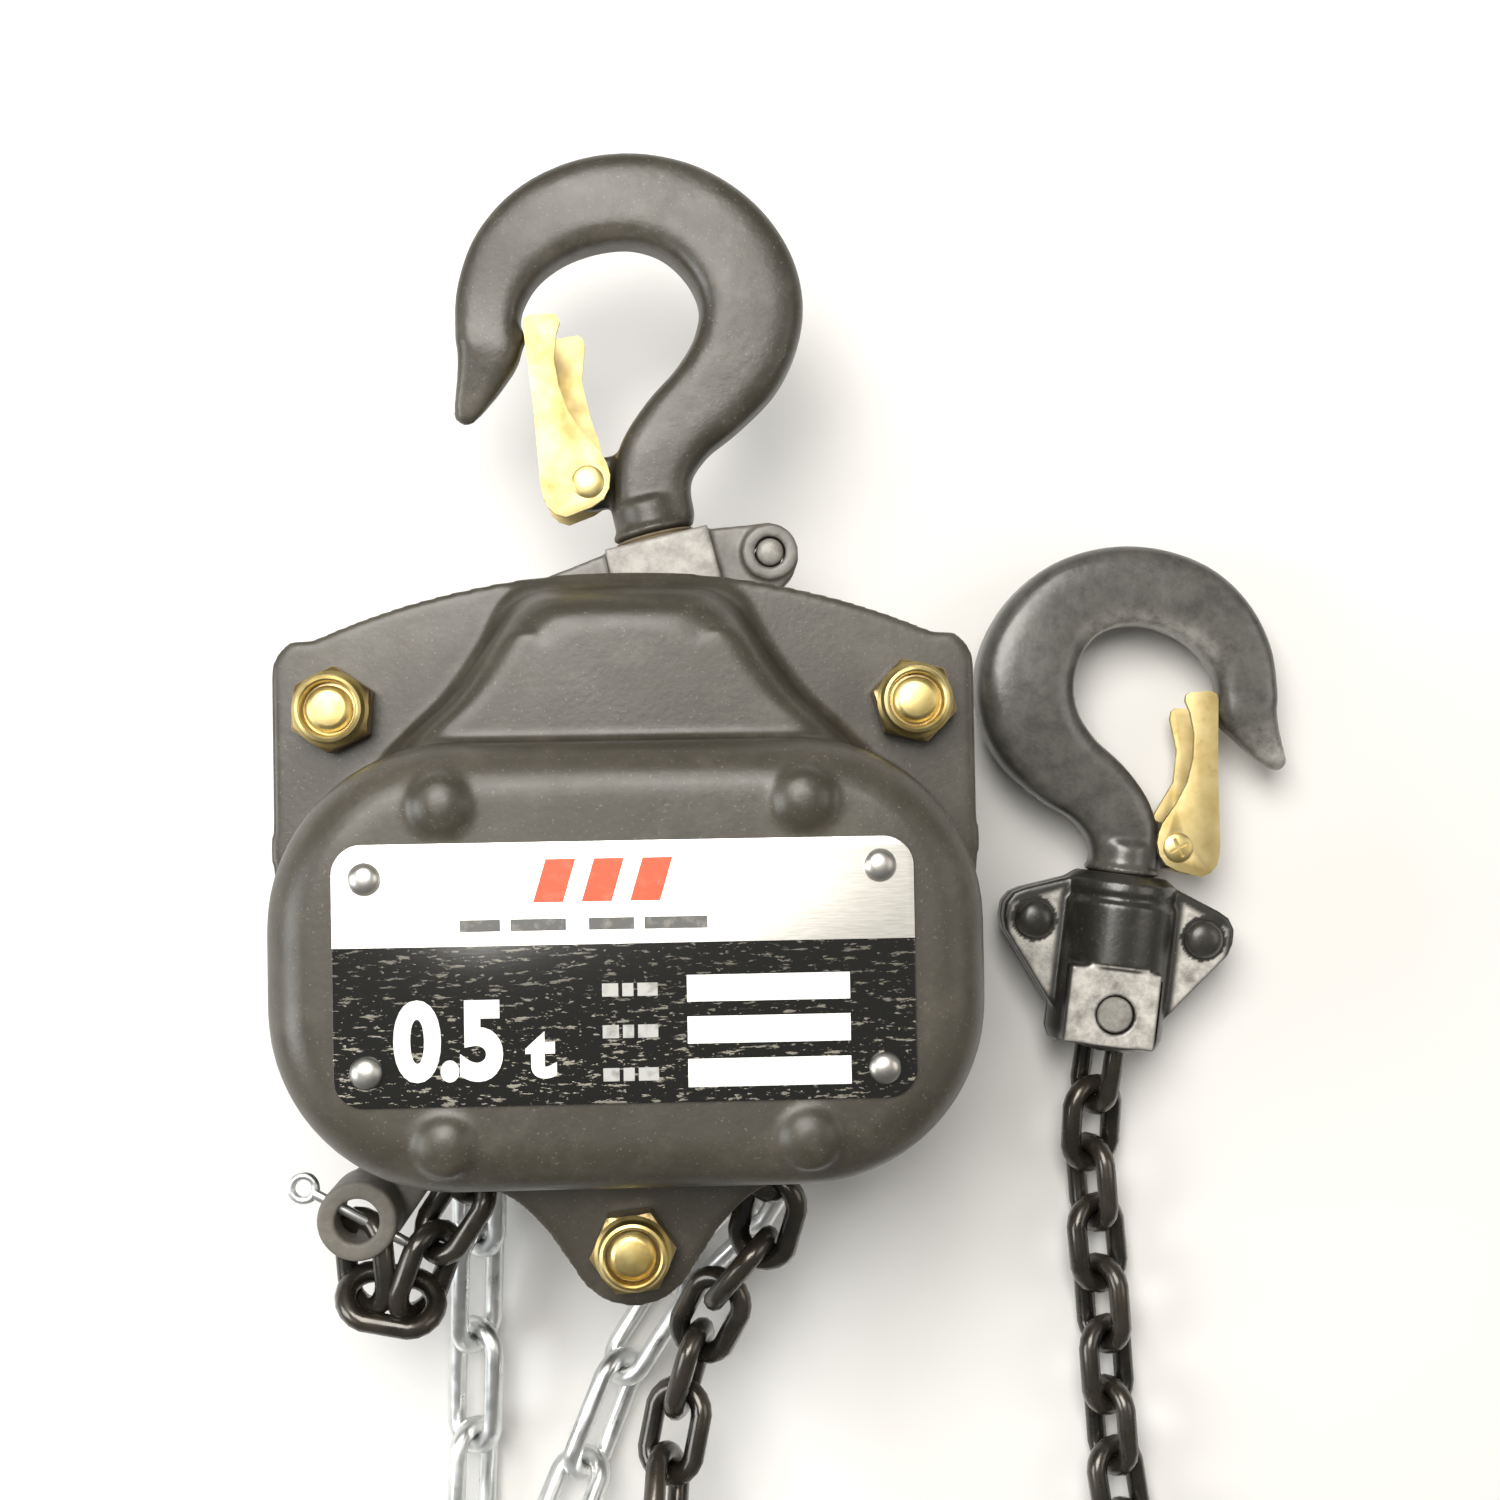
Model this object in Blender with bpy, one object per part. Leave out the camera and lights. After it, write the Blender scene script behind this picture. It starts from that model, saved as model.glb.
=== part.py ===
"""Half-tonne hand chain hoist, lying on its hand-wheel cover.

+Z points out of the gear cover, +Y towards the top hook. The origin is on the drive-shaft axis, on the flat back
of the hand-wheel cover. Sizes below are in millimetres and are turned into metres as each mesh is made.
"""
import math

import bmesh
import bpy
from mathutils import Matrix, Vector

MM = 0.001
GAP = 0.3                     # clearance kept between touching pieces
TURN_STEPS = 20

# Frame plates and covers
PLATE_HALF_WIDTH = 75.5
PLATE_TOP = 83.2
TOP_ARC_RADIUS = 166.7
EAR_RADIUS = 14.1
SHEET = 2.0
WHEEL_PLATE_Z = (44.3, 48.3)
GEAR_PLATE_Z = (70.9, 74.9)
GEAR_FLANGE_Z = (75.2, 77.2)
WHEEL_FLANGE_Z = (42.0, 44.0)
CHAIN_MID_Z = 59.6
BOLT_PLACES = ((-61.6, 54.2), (61.6, 54.2), (0.0, -61.2))
BOLT_RADIUS = 4.9
BOLT_HOLE = 5.2
NUT_ACROSS_FLATS = 16.0

# Gear cover drum, lobe and name plate
DRUM_CENTRE = (0.3, 0.8)
DRUM_HALF = (72.8, 45.5)
DRUM_CORNER = 37.5
DRUM_FACE_Z = 109.0
LOBE_FACE_Z = 93.0
NAME_PLATE_SIZE = (115.5, 52.0, 0.7)
NAME_PLATE_Z = 109.3
PLATE_RIVET_PLACES = ((-51.2, 19.4), (51.0, 20.4), (-51.3, -18.8), (51.3, -20.0))

# Hand-wheel cover and hand wheel
WHEEL_COVER_HALF = 50.0
WHEEL_COVER_FOOT = -46.0
HAND_CHAIN_RADIUS = 38.0
HAND_CHAIN_Z = 21.0

# Gear train
CENTRE_DISTANCE = 36.0
FINE_MODULE = 1.5
COARSE_MODULE = 2.0
PRESSURE_ANGLE = math.radians(25.0)
BACKLASH = 0.26
SHAFT_RADIUS = 5.5
SHAFT_BORE = 5.8
SHEAVE_CHAIN_RADIUS = 24.4
JOURNAL_RADIUS = 15.0
BEARING_RADIUS = 19.0

# Suspension, hooks and chain
SUSPENSION_PIN = (13.0, 66.0)
TOP_LEAN = math.radians(13.0)
LOAD_PIN = (114.7, -19.7)
LOAD_Z = 14.8
LOAD_LEAN = math.radians(-8.0)
HOOK_DEPTH = 0.78             # thickness of a forged hook over its width
CHAIN_WIDTH = 17.0            # outside width of a link of either chain
WRAP_WIDTH = 10.0             # plain stand-in for a chain in its wheel
COIL_CENTRE = (35.0, -266.0)
HAND_COIL = (75.0, 109.3, 0.2, 70.0)       # inner and outer radius, lowest and highest level
LOAD_COIL = (50.0, 102.0, 70.3, 105.0)

ANCHOR_PLACE = (-60.6, -57.0)
PAWL_PIN = (19.2, 36.2)

# Centre lines of the hooks as (u, v, half width), v along the shank from the pin that carries the hook
TOP_HOOK_LINE = ((1.4, 30.0, 8.4), (1.8, 37.0, 8.6), (4.5, 43.5, 8.8), (11.0, 49.5, 9.0), (19.5, 54.5, 9.8),
                 (27.5, 61.0, 11.0), (32.5, 69.5, 11.6), (33.2, 78.5, 11.6), (29.8, 88.0, 11.2), (23.0, 96.0, 10.6),
                 (13.5, 101.0, 10.2), (3.0, 102.4, 10.0), (-7.5, 100.6, 9.5), (-16.5, 95.5, 8.6),
                 (-22.5, 88.0, 7.6), (-25.2, 80.0, 6.8), (-26.6, 72.5, 6.4), (-30.5, 66.5, 4.9), (-34.8, 64.2, 2.8))
LOAD_HOOK_LINE = ((0.0, 36.0, 8.0), (-0.6, 41.0, 8.4), (-3.0, 47.0, 8.8), (-9.0, 53.0, 9.2), (-17.5, 58.0, 10.2),
                  (-25.0, 65.0, 11.4), (-29.0, 73.5, 12.0), (-29.3, 82.0, 11.9), (-26.2, 91.0, 11.2),
                  (-20.0, 98.5, 10.4), (-11.0, 103.0, 9.9), (-1.0, 104.2, 9.6), (9.0, 102.0, 9.4),
                  (17.0, 97.0, 8.7), (22.6, 90.0, 7.9), (25.2, 82.5, 7.3), (26.2, 75.5, 7.0), (30.2, 69.5, 5.2),
                  (34.6, 66.2, 2.8))
LATCH_PIVOT = (11.5, 41.6)

# Centre lines of the free chains
HAND_LEFT_ROUTE = ((-38.0, -47.0, 21.0), (-38.4, -60.0, 19.5), (-39.6, -82.0, 13.5), (-41.0, -108.0, 9.4),
                   (-42.0, -135.0, 8.8), (-43.6, -156.0, 8.8), (-46.8, -180.0, 8.8))
HAND_RIGHT_ROUTE = ((38.0, -47.0, 21.0), (36.6, -54.5, 19.6), (30.0, -63.5, 15.8), (19.5, -73.0, 11.4),
                    (8.0, -85.0, 9.0), (-3.0, -101.0, 8.8), (-12.0, -121.0, 9.2), (-16.5, -133.0, 12.5),
                    (-21.5, -144.0, 19.0), (-28.0, -153.5, 27.0), (-36.5, -162.5, 34.5),
                    (-46.0, -172.0, 40.0), (-56.0, -183.5, 43.2), (-64.0, -196.5, 43.6),
                    (-67.4, -208.0, 43.6))
LOAD_RUN_ROUTE = ((31.2, -53.4, 59.6), (30.6, -60.5, 58.0), (26.2, -69.0, 53.5), (18.9, -78.5, 48.0),
                  (12.9, -91.4, 42.5), (8.6, -107.7, 39.5), (6.0, -120.7, 41.8), (5.2, -131.0, 48.5),
                  (1.5, -141.0, 57.5), (-7.0, -149.5, 66.0), (-20.0, -156.0, 72.5), (-35.0, -163.0, 76.8),
                  (-48.0, -173.5, 79.0), (-57.5, -187.0, 79.2), (-63.5, -203.0, 79.2), (-66.6, -218.0, 79.0))
LOAD_LEAD_ROUTE = ((113.8, -26.0, 14.8), (112.6, -35.0, 13.4), (111.2, -53.0, 9.6), (113.4, -84.0, 8.8),
                   (115.0, -115.0, 8.8), (116.3, -135.0, 8.8), (118.8, -150.0, 10.6), (123.2, -164.0, 16.5),
                   (128.3, -176.0, 25.5), (133.5, -187.5, 37.0), (138.4, -199.5, 49.5), (142.6, -212.0, 61.5),
                   (146.0, -225.5, 72.5), (147.0, -239.0, 81.5), (146.3, -252.5, 88.0))

FINISHES = {
    "cover_paint": ((0.060, 0.056, 0.047), 0.42, 0.35),
    "hook_paint": ((0.048, 0.045, 0.038), 0.45, 0.35),
    "zinc_yellow": ((0.78, 0.68, 0.42), 0.30, 1.0),
    "zinc_bright": ((0.72, 0.73, 0.74), 0.25, 1.0),
    "chain_black": ((0.030, 0.026, 0.022), 0.32, 0.8),
    "plate_aluminium": ((0.80, 0.79, 0.76), 0.35, 1.0),
    "steel": ((0.45, 0.45, 0.46), 0.35, 1.0),
    "friction_lining": ((0.22, 0.14, 0.09), 0.85, 0.0),
}


def clear_scene():
    for item in list(bpy.data.objects):
        bpy.data.objects.remove(item, do_unlink=True)


def finish(name):
    """Return the named material, made on first use."""
    known = bpy.data.materials.get(name)
    if known:
        return known
    colour, roughness, metallic = FINISHES[name]
    made = bpy.data.materials.new(name)
    made.use_nodes = True
    shader = made.node_tree.nodes["Principled BSDF"]
    shader.inputs["Base Color"].default_value = (*colour, 1.0)
    shader.inputs["Roughness"].default_value = roughness
    shader.inputs["Metallic"].default_value = metallic
    return made


def axis_empty(name, place, lean=0.0):
    """An empty on a joint's axis, which the pieces that turn about it are parented to."""
    empty = bpy.data.objects.new(name, None)
    empty.location = Vector(place) * MM
    empty.rotation_euler = (0.0, 0.0, lean)
    bpy.context.scene.collection.objects.link(empty)
    return empty


def new_object(name, bm, material, parent=None):
    bmesh.ops.recalc_face_normals(bm, faces=bm.faces[:])
    mesh = bpy.data.meshes.new(name)
    bm.to_mesh(mesh)
    bm.free()
    mesh.transform(Matrix.Scale(MM, 4))
    mesh.shade_smooth()
    mesh.set_sharp_from_angle(angle=math.radians(35.0))
    made = bpy.data.objects.new(name, mesh)
    if material:
        made.data.materials.append(finish(material))
    made.parent = parent
    bpy.context.scene.collection.objects.link(made)
    return made


def prism(name, outline, low, high, material=None, parent=None):
    """A plate of a given outline between two heights."""
    bm = bmesh.new()
    face = bm.faces.new([bm.verts.new((x, y, low)) for x, y in outline])
    top = bmesh.ops.extrude_face_region(bm, geom=[face])
    risen = [item for item in top["geom"] if isinstance(item, bmesh.types.BMVert)]
    bmesh.ops.translate(bm, verts=risen, vec=(0.0, 0.0, high - low))
    return new_object(name, bm, material, parent)


def loft(name, rings, material=None, parent=None):
    """Close a stack of rings that hold the same number of points into one solid."""
    bm = bmesh.new()
    loops = [[bm.verts.new(point) for point in ring] for ring in rings]
    bm.faces.new(loops[0])
    bm.faces.new(loops[-1])
    for lower, upper in zip(loops, loops[1:]):
        for index, vertex in enumerate(lower):
            after = (index + 1) % len(lower)
            bm.faces.new((vertex, lower[after], upper[after], upper[index]))
    return new_object(name, bm, material, parent)


def turned(name, profile, material=None, place=(0.0, 0.0), parent=None, steps=TURN_STEPS, along_y=False):
    """Spin a profile of (radius, height) points about an upright line, or about the local Y axis."""
    bm = bmesh.new()
    points = [bm.verts.new((radius, 0.0, height)) for radius, height in profile]
    pairs = list(zip(points, points[1:]))
    if profile[0][0] > 0.0:
        pairs.append((points[-1], points[0]))
    edges = [bm.edges.new(pair) for pair in pairs]
    bmesh.ops.spin(bm, geom=points + edges, cent=(0, 0, 0), axis=(0, 0, 1), angle=math.tau, steps=steps)
    bmesh.ops.remove_doubles(bm, verts=bm.verts[:], dist=0.001)
    if along_y:
        bmesh.ops.rotate(bm, verts=bm.verts[:], matrix=Matrix.Rotation(-math.pi / 2, 3, "X"))
    bmesh.ops.translate(bm, verts=bm.verts[:], vec=(place[0], place[1], 0.0))
    return new_object(name, bm, material, parent)


def rod(name, radius, low, high, material=None, place=(0.0, 0.0), parent=None, steps=TURN_STEPS, along_y=False):
    profile = [(0.0, low), (radius, low), (radius, high), (0.0, high)]
    return turned(name, profile, material, place, parent, steps, along_y)


def ring(name, inner, outer, low, high, material=None, place=(0.0, 0.0), parent=None, steps=TURN_STEPS):
    profile = [(inner, low), (outer, low), (outer, high), (inner, high)]
    return turned(name, profile, material, place, parent, steps)


def block(name, low, high, parent=None):
    """A plain box between two corners, used as a cutter."""
    corners = ((low[0], low[1]), (high[0], low[1]), (high[0], high[1]), (low[0], high[1]))
    return prism(name, corners, low[2], high[2], parent=parent)


def joined(target, tool, operation):
    """Add a Boolean whose operand stays in the file as a hidden helper."""
    tool.hide_render = True
    tool.display_type = "WIRE"
    change = target.modifiers.new(tool.name, "BOOLEAN")
    change.operation = operation
    change.object = tool


def cut(target, *tools):
    for tool in tools:
        joined(target, tool, "DIFFERENCE")


def weld(target, *tools):
    for tool in tools:
        joined(target, tool, "UNION")


def arc(centre, radius, start, end, count):
    """Points on an arc, angles in degrees."""
    points = []
    for step in range(count + 1):
        angle = math.radians(start + (end - start) * step / count)
        points.append((centre[0] + radius * math.cos(angle), centre[1] + radius * math.sin(angle)))
    return points


def mirrored(half):
    """Close the right half of an outline, listed from top to bottom, with its mirror image."""
    return half + [(-x, y) for x, y in reversed(half) if abs(x) > 0.01]


def hexagon(across_flats, place=(0.0, 0.0), turn=0.0):
    return arc(place, across_flats / math.sqrt(3.0), turn, turn + 300.0, 5)


def rounded_box(centre, half, corner, inset=0.0, per_corner=6):
    """A rectangle with round corners, drawn in by an inset."""
    radius = corner - inset
    points = []
    for quarter, (side_x, side_y) in enumerate(((1, 1), (-1, 1), (-1, -1), (1, -1))):
        middle = (centre[0] + side_x * (half[0] - corner), centre[1] + side_y * (half[1] - corner))
        points += arc(middle, radius, 90.0 * quarter, 90.0 * quarter + 90.0, per_corner)
    return points


def at_height(outline, height):
    return [(x, y, height) for x, y in outline]


def plate_outline(inset=0.0):
    """Arched top, square shoulders, and one rounded ear at the bottom."""
    width = PLATE_HALF_WIDTH - inset
    arch = TOP_ARC_RADIUS - inset
    arch_centre = (0.0, PLATE_TOP - TOP_ARC_RADIUS)
    shoulder = 9.0
    swing = math.degrees(math.asin((width - shoulder) / arch))
    half = arc(arch_centre, arch, 90.0, 90.0 - swing, 5)
    corner_y = half[-1][1] - shoulder + 1.0
    half += arc((width - shoulder, corner_y), shoulder, 60.0, 0.0, 3)
    half += [(width, 20.0), (70.0 - inset, -6.0), (52.0 - inset, -36.0), (27.0 - inset, -50.0 + inset)]
    half += [(19.5 - inset, -56.5), (14.5 - inset, -63.5)]
    half += arc((0.0, -60.0), EAR_RADIUS - inset, -40.0, -90.0, 3)
    return mirrored(half)


def gear_outline(teeth, module, addendum, dedendum, phase=0.0):
    """A spur gear with involute flanks, thinned by half the backlash on each side; a large gear's are straight."""
    pitch = teeth * module / 2.0
    base = pitch * math.cos(PRESSURE_ANGLE)
    tip = pitch + addendum
    root = pitch - dedendum
    flank = [root, tip] if base < root else [base, pitch, tip]
    involute = math.tan(PRESSURE_ANGLE) - PRESSURE_ANGLE
    outline = []
    for tooth in range(teeth):
        middle = phase + math.tau * tooth / teeth
        side = []
        for radius in flank:
            pressure = math.acos(min(1.0, base / radius))
            half = math.pi / (2 * teeth) - BACKLASH / (2 * pitch) + involute - (math.tan(pressure) - pressure)
            side.append((radius, half))
        if base > root:
            side.insert(0, (root, side[0][1]))
        points = [(radius, -half) for radius, half in side] + [(radius, half) for radius, half in reversed(side)]
        outline += [(radius * math.cos(middle + turn), radius * math.sin(middle + turn)) for radius, turn in points]
    return outline


def shifted(outline, place):
    return [(x + place[0], y + place[1]) for x, y in outline]


def smooth_path(points, spacing):
    """Read evenly spaced points from a Catmull-Rom curve through a route's own points."""
    knots = [Vector(point) for point in points]
    knots = [knots[0] * 2 - knots[1]] + knots + [knots[-1] * 2 - knots[-2]]
    dense = []
    for a, b, c, d in zip(knots, knots[1:], knots[2:], knots[3:]):
        for step in range(16):
            t = step / 16.0
            dense.append(0.5 * (2 * b + (c - a) * t + (2 * a - 5 * b + 4 * c - d) * t * t
                                + (3 * b - a - 3 * c + d) * t ** 3))
    dense.append(knots[-2])
    total = sum((second - first).length for first, second in zip(dense, dense[1:]))
    count = max(2, round(total / spacing))
    path, walked, target = [dense[0]], 0.0, total / count
    for first, second in zip(dense, dense[1:]):
        length = (second - first).length
        while walked + length >= target * len(path) - 1e-6 and len(path) < count:
            path.append(first.lerp(second, (target * len(path) - walked) / max(length, 1e-9)))
        walked += length
    return path + [dense[-1]]


def tube(name, route, width, material, spacing=None):
    """A round cord along a smooth route, as a bevelled curve with filled caps."""
    curve = bpy.data.curves.new(name, "CURVE")
    curve.dimensions = "3D"
    curve.bevel_depth = width * MM / 2.0
    curve.bevel_resolution = 2
    curve.use_fill_caps = True
    spline = curve.splines.new("POLY")
    points = smooth_path(route, spacing or 1.0 * width)
    spline.points.add(len(points) - 1)
    for knot, point in zip(spline.points, points):
        knot.co = (*(point * MM), 1.0)
    curve.materials.append(finish(material))
    made = bpy.data.objects.new(name, curve)
    bpy.context.scene.collection.objects.link(made)
    return made


def swept(name, stations, depth, material=None, parent=None, sides=12):
    """A forged bar along a flat centre line of (u, v, half width), thinner across the plane by depth."""
    bm = bmesh.new()
    places = [Vector((u, v)) for u, v, _ in stations]
    loops = []
    for index, (u, v, half) in enumerate(stations):
        ahead = places[min(index + 1, len(places) - 1)]
        behind = places[max(index - 1, 0)]
        along = (ahead - behind).normalized()
        across = Vector((-along.y, along.x))
        loop = []
        for side in range(sides):
            angle = math.tau * side / sides
            reach = across * (half * math.cos(angle))
            loop.append(bm.verts.new((u + reach.x, v + reach.y, half * depth * math.sin(angle))))
        loops.append(loop)
    bm.faces.new(loops[0])
    bm.faces.new(loops[-1])
    for lower, upper in zip(loops, loops[1:]):
        for index in range(sides):
            after = (index + 1) % sides
            bm.faces.new((lower[index], lower[after], upper[after], upper[index]))
    return new_object(name, bm, material, parent)


def drilled(target, places, radius, low, high, parent=None, label="hole", steps=16):
    for index, place in enumerate(places):
        tool = rod(f"{target.name}_{label}_{index}", radius, low, high, place=place, parent=parent, steps=steps)
        cut(target, tool)


def make_gear_cover():
    """Stamped cover: flange, deep drum over the disc gears and a lower lobe over the suspension pin."""
    cover = prism("gear_cover", plate_outline(), *GEAR_FLANGE_Z, "cover_paint")
    crown = ((76.0, 0.0), (98.0, 0.0), (104.0, 1.8), (107.6, 5.4), (DRUM_FACE_Z, 10.5))
    drum = loft("drum_form", [at_height(rounded_box(DRUM_CENTRE, DRUM_HALF, DRUM_CORNER, inset), height)
                              for height, inset in crown])
    hollow = loft("drum_hollow", [at_height(rounded_box(DRUM_CENTRE, DRUM_HALF, DRUM_CORNER, inset + SHEET), low)
                                  for low, inset in ((70.0, 0.0), (97.4, 0.0), (103.0, 2.4), (107.0, 9.0))])
    steps = ((76.0, 0.0), (84.0, 1.6), (91.0, 3.6), (LOBE_FACE_Z, 6.4))
    lobe = loft("lobe_form", [lobe_ring(height, inset) for height, inset in steps])
    lobe_hollow = loft("lobe_hollow", [lobe_ring(height, inset + SHEET)
                                       for height, inset in ((70.0, 0.0), (83.0, 1.6), (91.0, 4.4))])
    weld(cover, lobe, drum)
    cut(cover, lobe_hollow, hollow)
    drilled(cover, BOLT_PLACES, BOLT_HOLE, 60.0, 90.0)
    drilled(cover, PLATE_RIVET_PLACES, 1.8, 100.0, 115.0, label="rivet")
    return cover


def lobe_ring(height, inset):
    """A trapezoid with a narrow top edge, which runs down under the drum."""
    half = [(20.0 - inset, 79.0 - inset), (25.5 - inset, 76.0 - inset), (33.0 - inset, 62.0),
            (44.0 - inset, 50.0), (50.0 - inset, 40.0), (50.0 - inset, 10.0)]
    return at_height(mirrored(half), height)


def make_name_plate():
    width, height, thickness = NAME_PLATE_SIZE
    outline = rounded_box((0.0, 0.2), (width / 2, height / 2), 6.0, per_corner=3)
    plate = prism("name_plate", outline, NAME_PLATE_Z, NAME_PLATE_Z + thickness, "plate_aluminium")
    drilled(plate, PLATE_RIVET_PLACES, 1.8, 105.0, 115.0)
    seat = NAME_PLATE_Z + thickness + GAP
    for index, place in enumerate(PLATE_RIVET_PLACES, 1):
        profile = [(0.0, 106.6), (1.5, 106.6), (1.5, seat), (3.2, seat), (2.9, seat + 0.8), (1.8, seat + 1.4),
                   (0.0, seat + 1.6)]
        turned(f"plate_rivet_{index}", profile, "plate_aluminium", place, steps=12)


def make_frame_plates():
    """The two flat plates that carry the sheave, with everything that is drilled in them."""
    roller_places = [(-40.0, -20.0), (40.0, -20.0)]
    for name, levels in (("gear_side_plate", GEAR_PLATE_Z), ("wheel_side_plate", WHEEL_PLATE_Z)):
        plate = prism(name, plate_outline(0.8), *levels, "cover_paint")
        drilled(plate, BOLT_PLACES, BOLT_HOLE, levels[0] - 5, levels[1] + 5)
        drilled(plate, [(0.0, 0.0)], BEARING_RADIUS + GAP, levels[0] - 5, levels[1] + 5, label="seat", steps=TURN_STEPS)
        drilled(plate, [SUSPENSION_PIN], 6.3, levels[0] - 5, levels[1] + 5, label="pin")
        drilled(plate, roller_places, 3.3, levels[0] - 5, levels[1] + 5, label="roller")
        if name == "gear_side_plate":
            stubs = [(-CENTRE_DISTANCE, 0.0), (CENTRE_DISTANCE, 0.0)]
            drilled(plate, stubs, 3.3, levels[0] - 5, levels[1] + 5, label="stub")
        else:
            weld(plate, rod("pawl_stud", 2.5, 31.0, 46.0, place=PAWL_PIN, steps=12))
        bearing = "front" if name == "gear_side_plate" else "back"
        ring(f"sheave_bearing_{bearing}", JOURNAL_RADIUS + GAP, BEARING_RADIUS, *levels, "steel")
    for side, place in zip(("left", "right"), roller_places):
        profile = [(0.0, 44.6), (3.0, 44.6), (3.0, 48.9), (6.0, 48.9), (6.0, 56.0), (4.6, CHAIN_MID_Z), (6.0, 63.2),
                   (6.0, 70.3), (3.0, 70.3), (3.0, 74.6), (0.0, 74.6)]
        axle = axis_empty(f"roller_axis_{side}", (*place, 0.0))
        turned(f"guide_roller_{side}", profile, "steel", parent=axle, steps=16)


def make_stay_bolts():
    """Three headed bolts with a spacing shoulder between the plates, closed by lock nuts at the front."""
    head_z = (33.7, WHEEL_FLANGE_Z[0] - GAP)
    nut_z = GEAR_FLANGE_Z[1] + GAP
    for index, place in enumerate(BOLT_PLACES, 1):
        low, high = WHEEL_PLATE_Z[1] + GAP, GEAR_PLATE_Z[0] - GAP
        profile = [(0.0, head_z[1] - 1.0), (BOLT_RADIUS, head_z[1] - 1.0), (BOLT_RADIUS, low), (7.0, low),
                   (7.0, high), (BOLT_RADIUS, high), (BOLT_RADIUS, 87.0), (BOLT_RADIUS - 0.8, 87.8), (0.0, 87.8)]
        bolt = turned(f"stay_bolt_{index}", profile, "zinc_yellow", place)
        weld(bolt, prism(f"bolt_head_{index}", hexagon(NUT_ACROSS_FLATS, place), *head_z))
        nut = prism(f"lock_nut_{index}", hexagon(NUT_ACROSS_FLATS, place, 20.0 * index), nut_z, nut_z + 7.6,
                    "zinc_yellow")
        collar = [(0.0, nut_z + 5.0), (7.3, nut_z + 5.0), (7.3, nut_z + 9.6), (6.4, nut_z + 10.4),
                  (0.0, nut_z + 10.4)]
        weld(nut, turned(f"nut_collar_{index}", collar, place=place))
        drilled(nut, [place], BOLT_HOLE, nut_z - 3, nut_z + 15, label="thread")


def wheel_cover_outline(inset):
    """A round top on straight sides that run down to the chain mouth."""
    radius = WHEEL_COVER_HALF - inset
    foot = WHEEL_COVER_FOOT + inset
    half = arc((0.0, 0.0), radius, 90.0, 0.0, 10)
    half += [(radius, foot + 6.0), (radius - 2.0, foot + 1.8), (radius - 6.0, foot)]
    return mirrored(half)


def make_wheel_cover():
    """Pressed cover over the hand wheel and brake, open at the foot for the hand chain."""
    rings = [at_height(wheel_cover_outline(inset), height) for height, inset in ((0.0, 3.0), (3.0, 0.0), (43.0, 0.0))]
    cover = loft("wheel_cover", rings, "cover_paint")
    weld(cover, prism("wheel_cover_flange", plate_outline(0.8), *WHEEL_FLANGE_Z))
    cut(cover, prism("wheel_cover_hollow", wheel_cover_outline(SHEET), SHEET, 60.0))
    cut(cover, block("hand_chain_mouth", (-47.9, -70.0, 9.0), (47.9, WHEEL_COVER_FOOT + 7.9, 34.0)))
    drilled(cover, BOLT_PLACES, BOLT_HOLE, 30.0, 60.0)


def make_load_sheave():
    """Chain sheave with its two journals and the hub that carries the load gear."""
    groove = 17.6
    profile = [(SHAFT_BORE, 44.6), (JOURNAL_RADIUS, 44.6), (JOURNAL_RADIUS, 49.0), (30.0, 49.0), (30.0, 51.2),
               (22.5, 53.6), (groove, 54.0), (groove, 65.2), (22.5, 65.6), (30.0, 68.0), (30.0, 70.2),
               (JOURNAL_RADIUS, 70.2), (JOURNAL_RADIUS, 76.0), (9.0, 76.0), (9.0, 86.6), (SHAFT_BORE, 86.6)]
    axle = axis_empty("drive_axis", (0.0, 0.0, 0.0))
    turned("load_sheave", profile, "steel", parent=axle)
    gear = prism("load_gear", gear_outline(27, COARSE_MODULE, 1.2, 1.75), 78.0, 86.0, "steel", axle)
    cut(gear, rod("load_gear_bore", 9.0 + GAP, 70.0, 95.0, parent=axle))
    return axle


def make_disc_gears():
    """Two compound gears: a large wheel driven by the shaft, and a small pinion on the load gear."""
    half_pitch = math.pi / 38
    for side, x in (("left", -CENTRE_DISTANCE), ("right", CENTRE_DISTANCE)):
        axle = axis_empty(f"disc_gear_axis_{side}", (x, 0.0, 0.0))
        gear = prism(f"disc_gear_{side}", gear_outline(38, FINE_MODULE, 0.9, 1.35, half_pitch), 89.0, 96.0, "steel",
                     axle)
        weld(gear, prism(f"disc_pinion_{side}", gear_outline(9, COARSE_MODULE, 1.4, 1.55), 78.0, 91.0, parent=axle))
        weld(gear, rod(f"disc_stub_{side}", 3.0, 71.2, 100.0, parent=axle, steps=16))


def make_drive_shaft(axle):
    profile = [(0.0, 4.0), (SHAFT_RADIUS, 4.0), (SHAFT_RADIUS, 90.0), (4.0, 90.0), (4.0, 103.0), (0.0, 103.0)]
    shaft = turned("drive_shaft", profile, "steel", parent=axle)
    weld(shaft, prism("shaft_pinion", gear_outline(10, FINE_MODULE, 1.05, 1.3), 88.0, 98.0, parent=axle))


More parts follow.
